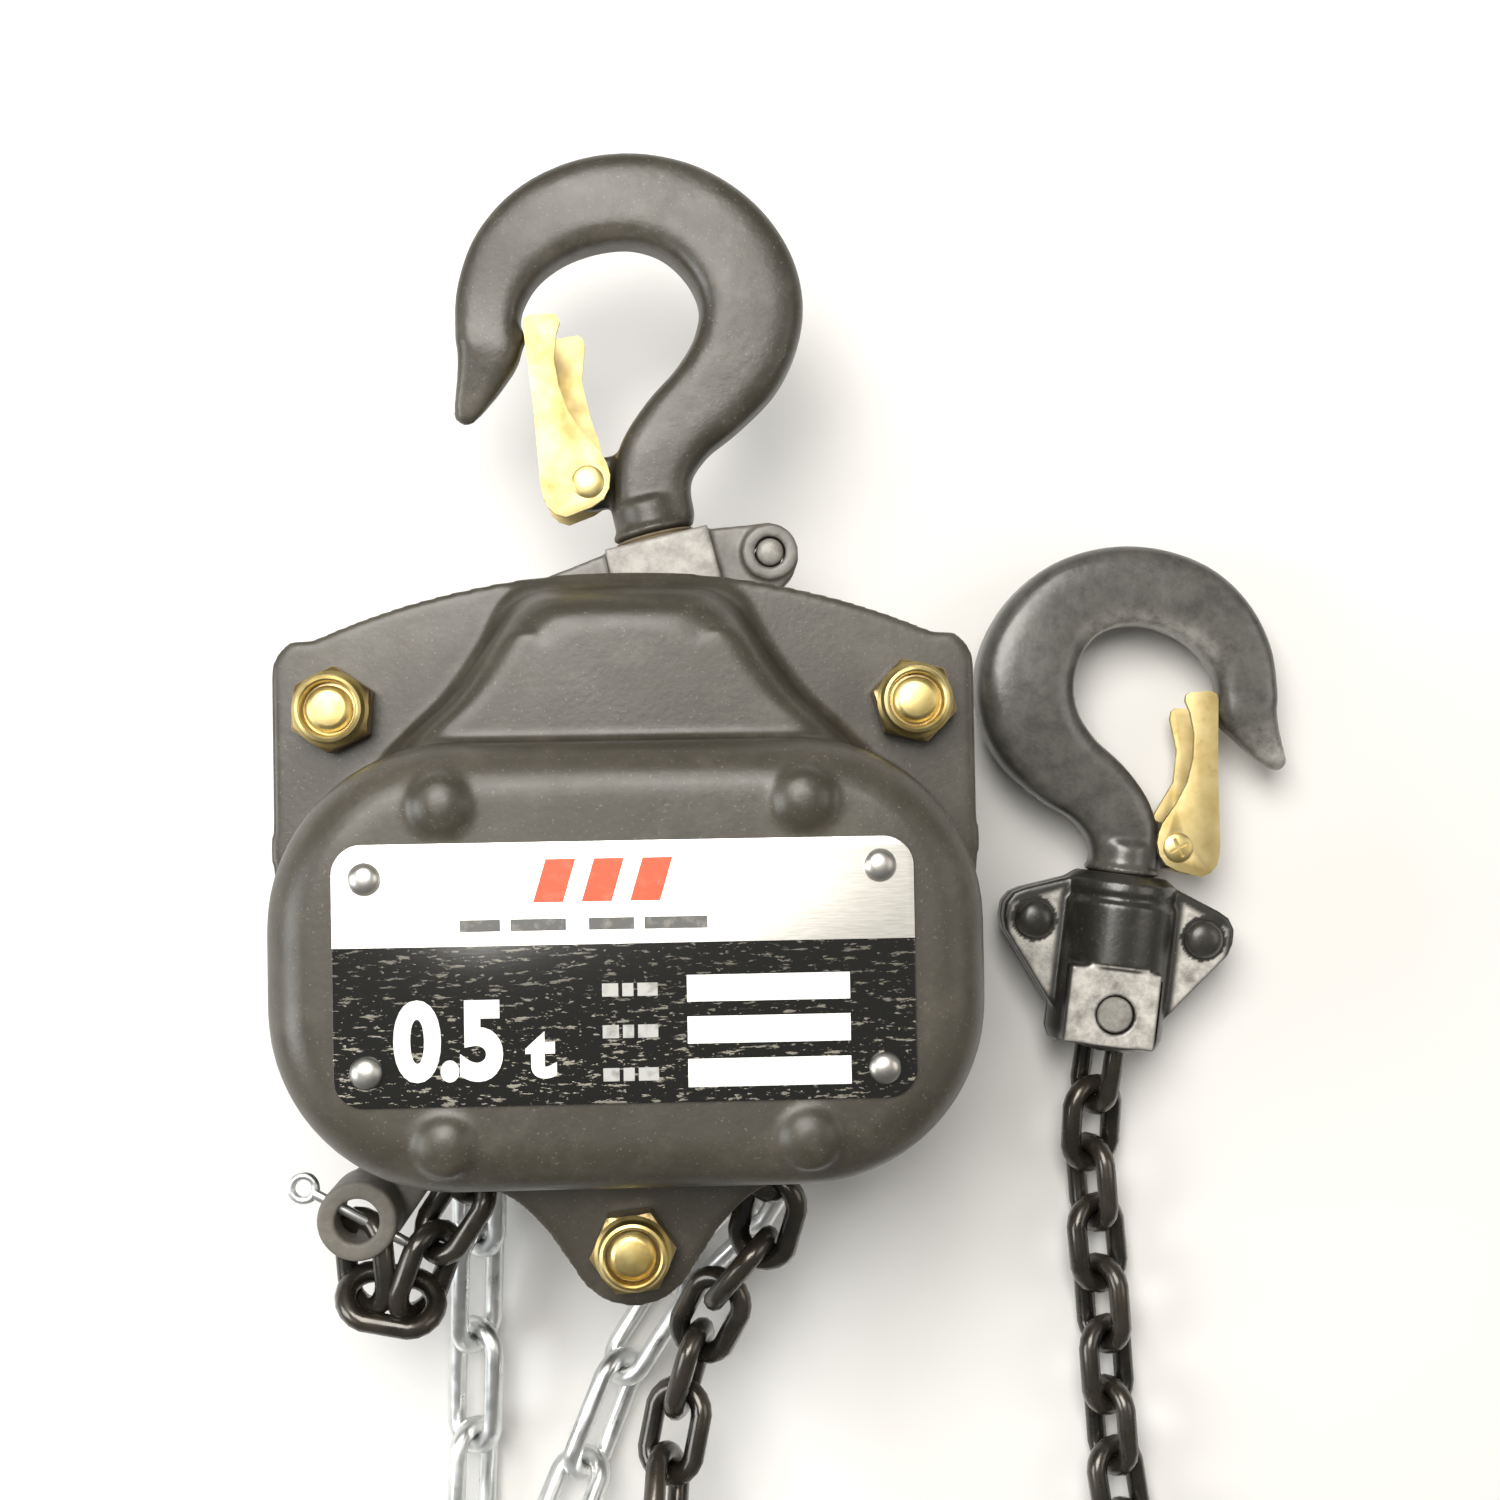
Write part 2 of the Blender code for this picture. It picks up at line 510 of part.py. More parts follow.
def make_brake(axle):
    """Load brake between the plate and the hand wheel; the ratchet disc is held by its pawl."""
    hub = [(SHAFT_BORE, 30.6), (9.0, 30.6), (9.0, 39.2), (20.0, 39.2), (20.0, 43.0), (SHAFT_BORE, 43.0)]
    turned("disc_hub", hub, "steel", parent=axle)
    ring("friction_disc_inner", 9.0 + GAP, 22.0, 36.9, 38.9, "friction_lining", parent=axle)
    ring("friction_disc_outer", 9.0 + GAP, 22.0, 30.3, 32.3, "friction_lining", parent=axle)
    teeth = []
    for tooth in range(12):
        face = math.radians(92.0 + 30.0 * tooth)
        teeth += [(29.0 * math.cos(face), 29.0 * math.sin(face)), (24.0 * math.cos(face), 24.0 * math.sin(face))]
    ratchet = prism("ratchet_disc", teeth, 32.6, 36.6, "steel")
    cut(ratchet, rod("ratchet_bore", 9.5, 25.0, 45.0))
    wheel = [(SHAFT_BORE, 12.0), (20.0, 12.0), (24.0, 14.0), (43.0, 13.0), (43.0, 15.0), (33.0, 15.4), (31.6, 17.0),
             (31.6, 25.0), (33.0, 26.6), (43.0, 27.0), (43.0, 29.0), (24.0, 28.0), (20.0, 30.0), (SHAFT_BORE, 30.0)]
    turned("hand_wheel", wheel, "steel", parent=axle)
    nut = prism("shaft_nut", hexagon(NUT_ACROSS_FLATS), 5.2, 11.7, "zinc_bright", axle)
    cut(nut, rod("shaft_nut_thread", SHAFT_BORE, 0.0, 20.0, parent=axle, steps=16))
    make_pawl()


def polar(radius, degrees):
    angle = math.radians(degrees)
    return (radius * math.cos(angle), radius * math.sin(angle))


def make_pawl():
    outline = [polar(24.8, 94.5), polar(29.9, 93.8), polar(30.2, 84.0), polar(34.0, 71.0)]
    outline += arc(PAWL_PIN, 4.6, 250.0, 430.0, 6)
    outline += [polar(41.5, 76.0), polar(36.0, 92.0), polar(31.0, 101.0), polar(25.3, 99.5)]
    axle = axis_empty("pawl_axis", (*PAWL_PIN, 0.0))
    pawl = prism("pawl", shifted(outline, (-PAWL_PIN[0], -PAWL_PIN[1])), 32.6, 36.6, "steel", axle)
    drilled(pawl, [(0.0, 0.0)], 2.8, 25.0, 45.0, parent=axle)


def make_chain_guides():
    outline = [(-9.0, -33.5), (9.0, -33.5), (11.5, -44.0), (6.0, -47.5), (-6.0, -47.5), (-11.5, -44.0)]
    prism("chain_stripper", outline, 48.9, 70.3, "steel")
    anchor = rod("tail_anchor", 8.8, 46.5, 65.0, "hook_paint", ANCHOR_PLACE)
    strap = [(-36.0, -38.0), (-44.0, -34.0), (-66.5, -51.0), (-69.0, -58.0), (-62.0, -65.0), (-53.0, -62.0)]
    weld(anchor, prism("anchor_strap", strap, WHEEL_PLATE_Z[1] + GAP, 52.6))
    drilled(anchor, [ANCHOR_PLACE], 4.85, 40.0, 70.0, label="bore")
    pin_line = axis_empty("split_pin_axis", (*ANCHOR_PLACE, 60.5), math.radians(61.0))
    cut(anchor, rod("split_pin_hole", 1.63, -20.0, 20.0, parent=pin_line, steps=10, along_y=True))
    split_pin = rod("split_pin", 1.2, -12.5, 11.5, "zinc_bright", parent=pin_line, steps=10, along_y=True)
    weld(split_pin, ring("split_pin_eye", 1.5, 3.6, -1.1, 1.1, place=(0.0, 14.0), parent=pin_line, steps=12))


def make_yoke():
    """Two riveted halves that hold the head of the top hook and hang from the suspension pin."""
    rod("suspension_pin", 6.0, 44.6, 75.0, "steel", SUSPENSION_PIN)
    axle = axis_empty("top_yoke_axis", (*SUSPENSION_PIN, CHAIN_MID_Z), TOP_LEAN)
    ears = mirrored([(9.0, 26.0), (20.0, 24.4), (27.0, 23.0), (30.0, 17.5), (28.0, 11.5), (12.0, 0.5)]
                    + arc((0.0, 0.0), 10.5, -20.0, -90.0, 4))
    cheek = mirrored([(11.5, 26.0), (12.0, 10.0)] + arc((0.0, 0.0), 10.5, 0.0, -90.0, 4))
    rivets = ((-23.7, 17.3), (23.7, 17.3))
    for name, low, high in (("front", 0.15, 5.4), ("back", -5.4, -0.15)):
        half = prism(f"top_yoke_{name}", ears, low, high, "hook_paint", axle)
        face = 10.3 if name == "front" else -10.3
        weld(half, prism(f"top_cheek_{name}", cheek, min(low, face), max(high, face), parent=axle))
        cut(half, hook_seat(f"top_seat_{name}", axle, 12.0, 19.0, 7.0, 30.0))
        drilled(half, [(0.0, 0.0)], 6.3, -20.0, 20.0, axle, "pin")
        drilled(half, rivets, 3.4, -20.0, 20.0, axle, "rivet")
    for side, place in zip(("left", "right"), rivets):
        rod(f"yoke_rivet_{side}", 3.1, -4.6, 4.6, "hook_paint", place, axle, 16)
    return axle


def hook_seat(name, parent, low, high, neck, mouth):
    """The hollow that a hook's round head turns in, with the neck's way out."""
    profile = [(0.0, low), (9.2, low), (9.2, high), (neck, high), (neck, mouth), (0.0, mouth)]
    return turned(name, profile, parent=parent, along_y=True)


def make_load_block():
    """Two riveted halves round the load hook's head, with the chain's end on a pin across the open tail."""
    swing = axis_empty("load_block_axis", (*LOAD_PIN, LOAD_Z), LOAD_LEAN)
    ears = mirrored([(13.0, 31.5), (24.0, 27.0), (28.2, 22.5), (27.6, 17.0), (14.0, 0.0), (6.0, -4.0)])
    rivets = ((-20.8, 20.3), (20.8, 20.3))
    body = [(0.0, -9.0), (11.0, -9.0), (14.35, -5.5), (14.35, 29.0), (11.0, 33.5), (0.0, 33.5)]
    for name, keep in (("front", 1.0), ("back", -1.0)):
        half = turned(f"load_block_{name}", body, "hook_paint", parent=swing, along_y=True)
        weld(half, prism(f"block_ears_{name}", ears, -5.4, 5.4, parent=swing))
        cut(half, hook_seat(f"block_seat_{name}", swing, 19.0, 26.0, 7.0, 40.0))
        cut(half, block(f"chain_slot_{name}", (-11.3, -20.0, -10.2), (11.3, 9.0, 10.2), swing))
        cut(half, block(f"pin_flat_{name}", (-20.0, -20.0, 12.9), (20.0, 11.0, 30.0), swing))
        waste = sorted((-40.0 * keep, 0.15 * keep))
        cut(half, block(f"other_half_{name}", (-60.0, -60.0, waste[0]), (60.0, 60.0, waste[1]), swing))
        drilled(half, rivets, 3.8, -30.0, 30.0, swing, "rivet")
        drilled(half, [(0.0, 0.0)], 4.6, -30.0, 30.0, swing, "load_pin")
    for side, place in zip(("left", "right"), rivets):
        head = [(0.0, -8.2), (3.4, -7.6), (4.7, -5.7), (3.5, -5.7), (3.5, 5.7), (4.7, 5.7), (3.4, 7.6), (0.0, 8.2)]
        turned(f"block_rivet_{side}", head, "chain_black", place, swing, 16)
    rod("load_pin", 4.3, -13.0, 12.6, "hook_paint", parent=swing)
    return swing


def make_hook(label, axle, line, head, side):
    """A swivel hook, its sprung latch, the latch's pin and its spring; side is where the mouth opens."""
    low, high = head
    hook = swept(f"{label}_hook", line, HOOK_DEPTH, "hook_paint", axle)
    neck_top = line[0][1]
    shank = [(0.0, low), (8.7, low), (8.7, high), (6.6, high), (6.6, neck_top - 2.5), (9.6, neck_top - 2.2),
             (9.6, neck_top + 0.5), (8.2, neck_top + 5.0), (0.0, neck_top + 6.0)]
    weld(hook, turned(f"{label}_shank", shank, parent=axle, along_y=True))
    pivot = (side * LATCH_PIVOT[0], LATCH_PIVOT[1])
    boss = [(0.0, 47.0), (side * 11.5, 47.1), (side * 17.0, 42.4), (side * 15.8, 37.4), (side * 11.5, 36.1),
            (0.0, 36.6)]
    weld(hook, prism(f"{label}_boss", boss, -4.9, 1.4, parent=axle))
    drilled(hook, [pivot], 2.5, -20.0, 20.0, axle, "latch")
    latch_axle = axis_empty(f"{label}_latch_axis", (0, 0, 0))
    latch_axle.parent = axle
    latch_axle.location = (pivot[0] * MM, pivot[1] * MM, 0.0)
    rod(f"{label}_latch_pin", 2.2, -8.6, 8.6, "zinc_yellow", parent=latch_axle, steps=12)
    web = [(6.5, -6.4), (10.0, -3.0), (10.2, 2.0), (7.5, 20.0), (5.6, 37.6), (3.6, 38.6), (-1.4, 37.7), (-2.4, 35.4),
           (-1.2, 28.0), (-2.6, 13.4), (-4.4, 4.6), (-3.4, -2.4), (0.6, -5.6)]
    latch = prism(f"{label}_latch", [(side * x, y) for x, y in web], -7.6, 7.6, "zinc_yellow", latch_axle)
    inner = [(4.6, -20.0), (8.6, -2.0), (8.7, 1.8), (6.1, 19.6), (4.2, 34.0), (-9.0, 34.0), (-9.0, -20.0)]
    cut(latch, prism(f"{label}_latch_channel", [(side * x, y) for x, y in inner], -6.0, 6.0, parent=latch_axle))
    drilled(latch, [(0.0, 0.0)], 2.5, -20.0, 20.0, latch_axle, "pin")
    make_latch_spring(label, latch_axle, side)


def make_latch_spring(label, latch_axle, side):
    """Torsion spring beside the hook's boss: a coil round the pin, and a leg along the latch."""
    curve = bpy.data.curves.new(f"{label}_latch_spring", "CURVE")
    curve.dimensions = "3D"
    curve.bevel_depth = 0.45 * MM
    curve.bevel_resolution = 1
    curve.use_fill_caps = True
    turns, per_turn = 2.5, 8
    points = []
    for step in range(int(turns * per_turn) + 1):
        angle = math.pi - step * math.tau / per_turn
        points.append((side * 3.4 * math.cos(angle), 3.4 * math.sin(angle), 2.2 + 2.9 * step / (turns * per_turn)))
    points.append((side * 3.8, 12.0, 5.1))
    spline = curve.splines.new("POLY")
    spline.points.add(len(points) - 1)
    for knot, point in zip(spline.points, points):
        knot.co = (*(Vector(point) * MM), 1.0)
    curve.materials.append(finish("steel"))
    spring = bpy.data.objects.new(f"{label}_latch_spring", curve)
    spring.parent = latch_axle
    bpy.context.scene.collection.objects.link(spring)


def make_chains():
    """Plain solids for both chains: in their wheels, along the free runs, and in the two stacked coils."""
    over_hand = [(HAND_CHAIN_RADIUS, -44.0), (HAND_CHAIN_RADIUS, -22.0)]
    over_hand += arc((0.0, 0.0), HAND_CHAIN_RADIUS, 0.0, 180.0, 12)
    over_hand += [(-HAND_CHAIN_RADIUS, -22.0), (-HAND_CHAIN_RADIUS, -44.0)]
    tube("hand_chain_wrap", at_height(over_hand, HAND_CHAIN_Z), WRAP_WIDTH, "zinc_bright")
    over_load = [(30.6, -49.0), (27.6, -30.0), (25.2, -13.0)]
    over_load += arc((0.0, 0.0), SHEAVE_CHAIN_RADIUS, 0.0, 180.0, 9)
    over_load += [(-25.2, -16.0), (-28.2, -40.0)]
    slack = [(-34.0, -60.0, 59.0), (-41.0, -74.0, 57.6), (-49.0, -82.5, 57.0), (-56.5, -82.0, 57.0),
             (-60.2, -73.5, 57.2)]
    tube("load_chain_wrap", at_height(over_load, CHAIN_MID_Z) + slack, WRAP_WIDTH, "chain_black", 8.0)
    tube("hand_chain_left", HAND_LEFT_ROUTE, CHAIN_WIDTH, "zinc_bright")
    tube("hand_chain_right", HAND_RIGHT_ROUTE, CHAIN_WIDTH, "zinc_bright")
    tube("load_chain_run", LOAD_RUN_ROUTE, CHAIN_WIDTH, "chain_black")
    tube("load_chain_lead", LOAD_LEAD_ROUTE, CHAIN_WIDTH, "chain_black")
    ring("hand_chain_coil", *HAND_COIL, "zinc_bright", COIL_CENTRE, steps=36)
    ring("load_chain_coil", *LOAD_COIL, "chain_black", COIL_CENTRE, steps=36)


def build():
    clear_scene()
    make_gear_cover()
    make_name_plate()
    make_frame_plates()
    make_stay_bolts()
    make_wheel_cover()
    drive_axle = make_load_sheave()
    make_disc_gears()
    make_drive_shaft(drive_axle)
    make_brake(drive_axle)
    make_chain_guides()
    make_hook("top", make_yoke(), TOP_HOOK_LINE, (12.5, 18.5), -1.0)
    make_hook("load", make_load_block(), LOAD_HOOK_LINE, (19.5, 25.5), 1.0)
    make_chains()


build()
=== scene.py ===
"""Looks of a half-tonne hand chain hoist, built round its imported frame.

Sizes are in millimetres in the frame's own axes: +Z out of the gear cover, +Y towards the top hook. A piece is
modelled in millimetres, in place or on the hook it belongs to, and its mesh is put in metres when it is dressed.
"""
import logging
import math
import random
from dataclasses import dataclass, field
from enum import Enum
from typing import Callable, Sequence

import bpy
import numpy as np
from mathutils import Matrix, Vector


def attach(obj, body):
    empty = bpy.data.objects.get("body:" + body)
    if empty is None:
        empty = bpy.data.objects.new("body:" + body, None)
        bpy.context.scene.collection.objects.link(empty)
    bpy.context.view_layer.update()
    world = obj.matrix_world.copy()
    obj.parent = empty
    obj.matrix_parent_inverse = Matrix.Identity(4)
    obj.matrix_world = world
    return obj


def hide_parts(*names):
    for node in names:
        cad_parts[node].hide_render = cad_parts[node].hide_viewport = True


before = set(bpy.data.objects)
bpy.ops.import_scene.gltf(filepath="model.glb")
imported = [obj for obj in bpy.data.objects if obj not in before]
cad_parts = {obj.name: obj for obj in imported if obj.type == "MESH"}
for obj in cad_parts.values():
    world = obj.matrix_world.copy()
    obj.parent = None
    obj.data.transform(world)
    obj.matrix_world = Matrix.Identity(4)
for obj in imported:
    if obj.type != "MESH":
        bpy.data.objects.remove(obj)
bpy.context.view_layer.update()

MM = 0.001
LOG = logging.getLogger("chain_hoist")

Outline = list[tuple[float, float]]
Colour = tuple[float, float, float]


class Body(Enum):
    """The bodies that pieces ride on."""

    FRAME = "root"
    YOKE = "top_yoke"
    TOP_HOOK = "top_hook"
    TOP_LATCH = "top_latch"
    BLOCK = "load_block"
    LOAD_HOOK = "load_hook"
    LOAD_LATCH = "load_latch"


# ---------------------------------------------------------------- workshop tools


def focus(piece: bpy.types.Object) -> None:
    """Leave one piece selected and active.

    Args:
        piece: The piece to work on.
    """
    bpy.ops.object.select_all(action="DESELECT")
    piece.select_set(True)
    bpy.context.view_layer.objects.active = piece


def new_piece(name: str, points: Sequence, edges: Sequence, faces: Sequence) -> bpy.types.Object:
    """Put a mesh of loose points, edges or faces on the bench.

    Args:
        name: The piece's name.
        points: Places of its vertices in millimetres.
        edges: Pairs of vertex numbers.
        faces: Vertex numbers of each face.

    Returns:
        The new object.
    """
    mesh = bpy.data.meshes.new(name)
    mesh.from_pydata([tuple(point) for point in points], edges, faces)
    piece = bpy.data.objects.new(name, mesh)
    bpy.context.scene.collection.objects.link(piece)
    return piece


def tidy_shell(piece: bpy.types.Object) -> bpy.types.Object:
    """Merge doubled points and turn every face outwards.

    Args:
        piece: A closed shape.

    Returns:
        The same piece.
    """
    focus(piece)
    bpy.ops.object.mode_set(mode="EDIT")
    bpy.ops.mesh.select_all(action="SELECT")
    bpy.ops.mesh.remove_doubles(threshold=0.001)
    bpy.ops.mesh.normals_make_consistent(inside=False)
    bpy.ops.object.mode_set(mode="OBJECT")
    return piece


def plate(name: str, outline: Outline, low: float, high: float) -> bpy.types.Object:
    """Extrude an outline upwards between two heights.

    Args:
        name: The piece's name.
        outline: Its corners in order.
        low: Height of the under side.
        high: Height of the upper side.

    Returns:
        The closed plate.
    """
    piece = new_piece(name, [(x, y, low) for x, y in outline], [], [list(range(len(outline)))])
    focus(piece)
    bpy.ops.object.mode_set(mode="EDIT")
    bpy.ops.mesh.select_all(action="SELECT")
    bpy.ops.mesh.extrude_region_move(TRANSFORM_OT_translate={"value": (0.0, 0.0, high - low)})
    bpy.ops.object.mode_set(mode="OBJECT")
    return tidy_shell(piece)


def stack(name: str, rings: list[list[tuple[float, float, float]]]) -> bpy.types.Object:
    """Bridge a stack of rings with as many points each into one closed form.

    Args:
        name: The piece's name.
        rings: The rings from bottom to top.

    Returns:
        The closed form.
    """
    size = len(rings[0])
    points = [point for ring in rings for point in ring]
    edges = [(start + step, start + (step + 1) % size)
             for start in range(0, len(points), size) for step in range(size)]
    piece = new_piece(name, points, edges, [])
    focus(piece)
    bpy.ops.object.mode_set(mode="EDIT")
    bpy.ops.mesh.select_mode(type="EDGE")
    bpy.ops.mesh.select_all(action="SELECT")
    bpy.ops.mesh.bridge_edge_loops(type="SINGLE", use_merge=False)
    bpy.ops.mesh.select_all(action="SELECT")
    bpy.ops.mesh.fill_holes(sides=0)
    bpy.ops.object.mode_set(mode="OBJECT")
    return tidy_shell(piece)


def lathe(name: str, profile: Outline, place: tuple[float, float] = (0.0, 0.0), steps: int = 48,
          along_y: bool = False) -> bpy.types.Object:
    """Spin a profile of (radius, height) points about an upright line or about the Y axis.

    Args:
        name: The piece's name.
        profile: The outer side from bottom to top; one that starts off the axis is closed as a ring.
        place: Where the axis stands.
        steps: Faces round the piece.
        along_y: Lay the axis along Y.

    Returns:
        The turned piece.
    """
    edges = [(step, step + 1) for step in range(len(profile) - 1)]
    if profile[0][0] > 0.0:
        edges.append((len(profile) - 1, 0))
    piece = new_piece(name, [(radius, 0.0, height) for radius, height in profile], edges, [])
    focus(piece)
    bpy.ops.object.mode_set(mode="EDIT")
    bpy.ops.mesh.select_all(action="SELECT")
    bpy.ops.mesh.spin(steps=steps, angle=math.tau, center=(0.0, 0.0, 0.0), axis=(0.0, 0.0, 1.0))
    bpy.ops.object.mode_set(mode="OBJECT")
    tidy_shell(piece)
    if along_y:
        piece.data.transform(Matrix.Rotation(-math.pi / 2, 4, "X"))
    piece.data.transform(Matrix.Translation((place[0], place[1], 0.0)))
    return piece


def brick(name: str, low: tuple, high: tuple) -> bpy.types.Object:
    """A cube primitive stretched between two corners.

    Args:
        name: The piece's name.
        low: Its lowest corner.
        high: Its highest corner.

    Returns:
        The brick.
    """
    bpy.ops.object.select_all(action="DESELECT")
    middle = [(a + b) / 2 for a, b in zip(low, high)]
    bpy.ops.mesh.primitive_cube_add(size=1.0, location=middle, scale=[b - a for a, b in zip(low, high)])
    piece = bpy.context.active_object
    piece.name = name
    bpy.ops.object.transform_apply(location=True, rotation=True, scale=True)
    return piece


def apply_change(piece: bpy.types.Object, kind: str, **settings) -> None:
    """Add one modifier, set it and apply it.

    Args:
        piece: The piece to change.
        kind: The modifier's type.
        **settings: Its settings.
    """
    focus(piece)
    change = piece.modifiers.new(kind.lower(), kind)
    for key, value in settings.items():
        setattr(change, key, value)
    bpy.ops.object.modifier_apply(modifier=change.name)


def combine(piece: bpy.types.Object, operation: str, *tools: bpy.types.Object) -> bpy.types.Object:
    """Join tools to a piece or cut them out of it, and clear them away.

    Args:
        piece: The piece to change.
        operation: UNION, DIFFERENCE or INTERSECT.
        *tools: The other solids.

    Returns:
        The same piece.
    """
    for tool in tools:
        apply_change(piece, "BOOLEAN", operation=operation, object=tool, solver="EXACT")
        bpy.data.objects.remove(tool, do_unlink=True)
    return piece


def soften(piece: bpy.types.Object, voxel: float, rounds: int) -> bpy.types.Object:
    """Rebuild the skin in even small faces and rub its edges round.

    Args:
        piece: A closed solid.
        voxel: Size of the new faces.
        rounds: How many times the edges are rubbed.

    Returns:
        The same piece.
    """
    apply_change(piece, "REMESH", mode="VOXEL", voxel_size=voxel)
    apply_change(piece, "SMOOTH", factor=0.5, iterations=rounds)
    return piece


def round_edges(piece: bpy.types.Object, width: float, segments: int = 3, angle: float = 35.0) -> bpy.types.Object:
    """Bevel the sharp edges.

    Args:
        piece: The piece to finish.
        width: Width of the bevel.
        segments: Faces across it.
        angle: Edges sharper than this many degrees are rounded.

    Returns:
        The same piece.
    """
    apply_change(piece, "BEVEL", width=width, segments=segments, limit_method="ANGLE",
                 angle_limit=math.radians(angle), harden_normals=False)
    return piece


def joined(name: str, parts: Sequence[bpy.types.Object]) -> bpy.types.Object:
    """Join separate bodies into one object.

    Args:
        name: The joined piece's name.
        parts: The bodies.

    Returns:
        The joined piece.
    """
    focus(parts[0])
    for part in parts[1:]:
        part.select_set(True)
    if len(parts) > 1:
        bpy.ops.object.join()
    parts[0].name = name
    return parts[0]


def dress(piece: bpy.types.Object, finish: bpy.types.Material, body: Body, stands_for: Sequence[str] = (),
          turn: Matrix | None = None, sharp: float = 32.0) -> bpy.types.Object:
    """Put a finished piece in its place in metres, with its finish, its body and the nodes it stands for.

    Args:
        piece: The piece, modelled in millimetres.
        finish: Its material.
        body: The body it rides on.
        stands_for: The frame's nodes that it replaces.
        turn: Where its own axes lie in the frame.
        sharp: Edges sharper than this many degrees stay sharp.

    Returns:
        The same piece.
    """
    piece.data.transform(Matrix.Scale(MM, 4) @ (turn or Matrix.Identity(4)))
    piece.data.materials.clear()
    piece.data.materials.append(finish)
    focus(piece)
    bpy.ops.object.shade_smooth_by_angle(angle=math.radians(sharp))
    piece.data.name = piece.name
    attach(piece, body.value)
    if stands_for:
        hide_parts(*stands_for)
    LOG.info("%s: %d faces on %s", piece.name, len(piece.data.polygons), body.value)
    return piece


# ---------------------------------------------------------------- outlines and paths


def arc(centre: tuple[float, float], radius: float, start: float, end: float, count: int) -> Outline:
    """Points on an arc.

    Args:
        centre: Its centre.
        radius: Its radius.
        start: First angle in degrees.
        end: Last angle in degrees.
        count: Steps between them.

    Returns:
        The points, both ends included.
    """
    angles = [math.radians(start + (end - start) * step / count) for step in range(count + 1)]
    return [(centre[0] + radius * math.cos(angle), centre[1] + radius * math.sin(angle)) for angle in angles]


def mirrored(half: Outline) -> Outline:
    """Close the right half of an outline, listed from top to bottom, with its mirror image."""
    return half + [(-x, y) for x, y in reversed(half) if abs(x) > 0.01]


def sided(outline: Outline, side: float) -> Outline:
    """Turn an outline over for the side that a hook opens to."""
    return [(side * x, y) for x, y in outline]


def rounded_box(centre: tuple[float, float], half: tuple[float, float], corner: float, inset: float = 0.0,
                count: int = 16) -> Outline:
    """A rectangle with round corners.

    Args:
        centre: Its middle.
        half: Half its width and height.
        corner: Radius of a corner.
        inset: How far the whole outline is drawn in.
        count: Steps round one corner.

    Returns:
        The outline.
    """
    points = []
    for quarter, (side_x, side_y) in enumerate(((1, 1), (-1, 1), (-1, -1), (1, -1))):
        middle = (centre[0] + side_x * (half[0] - corner), centre[1] + side_y * (half[1] - corner))
        points += arc(middle, corner - inset, 90.0 * quarter, 90.0 * quarter + 90.0, count)
    return points


def smooth_route(knots: Sequence[Sequence[float]], per_span: int = 12) -> list[Vector]:
    """Read points from a Catmull-Rom curve through a route's own points.

    Args:
        knots: The route's points.
        per_span: Points read between two of them.

    Returns:
        The points of the smooth route.
    """
    known = [Vector(knot) for knot in knots]
    known = [known[0] * 2 - known[1]] + known + [known[-1] * 2 - known[-2]]
    points = []
    for a, b, c, d in zip(known, known[1:], known[2:], known[3:]):
        for step in range(per_span):
            t = step / per_span
            points.append(0.5 * (2 * b + (c - a) * t + (2 * a - 5 * b + 4 * c - d) * t * t
                                 + (3 * b - a - 3 * c + d) * t ** 3))
    return points + [known[-2]]


def evenly(points: Sequence[Vector], spacing: float) -> list[Vector]:
    """Space points evenly along a path.

    Args:
        points: The path.
        spacing: Wanted distance, changed a little so that the ends are kept.

    Returns:
        The evenly spaced points.
    """
    line = np.array([tuple(point) for point in points])
    walked = np.concatenate(([0.0], np.cumsum(np.linalg.norm(np.diff(line, axis=0), axis=1))))
    wanted = np.linspace(0.0, walked[-1], max(2, round(walked[-1] / spacing) + 1))
    return [Vector([float(np.interp(at, walked, line[:, axis])) for axis in range(3)]) for at in wanted]


def rub_skin(piece: bpy.types.Object, measure: Callable[[Vector, Vector], float]) -> None:
    """Store how far each point of a painted skin is rubbed, for its paint to read.

    Args:
        piece: The painted piece, still in millimetres.
        measure: Gives the rub, from 0 to 1, from a point's place and normal.
    """
    rub = piece.data.attributes.new("rub", "FLOAT", "POINT")
    rub.data.foreach_set("value", [measure(vertex.co, vertex.normal) for vertex in piece.data.vertices])


# ---------------------------------------------------------------- finishes


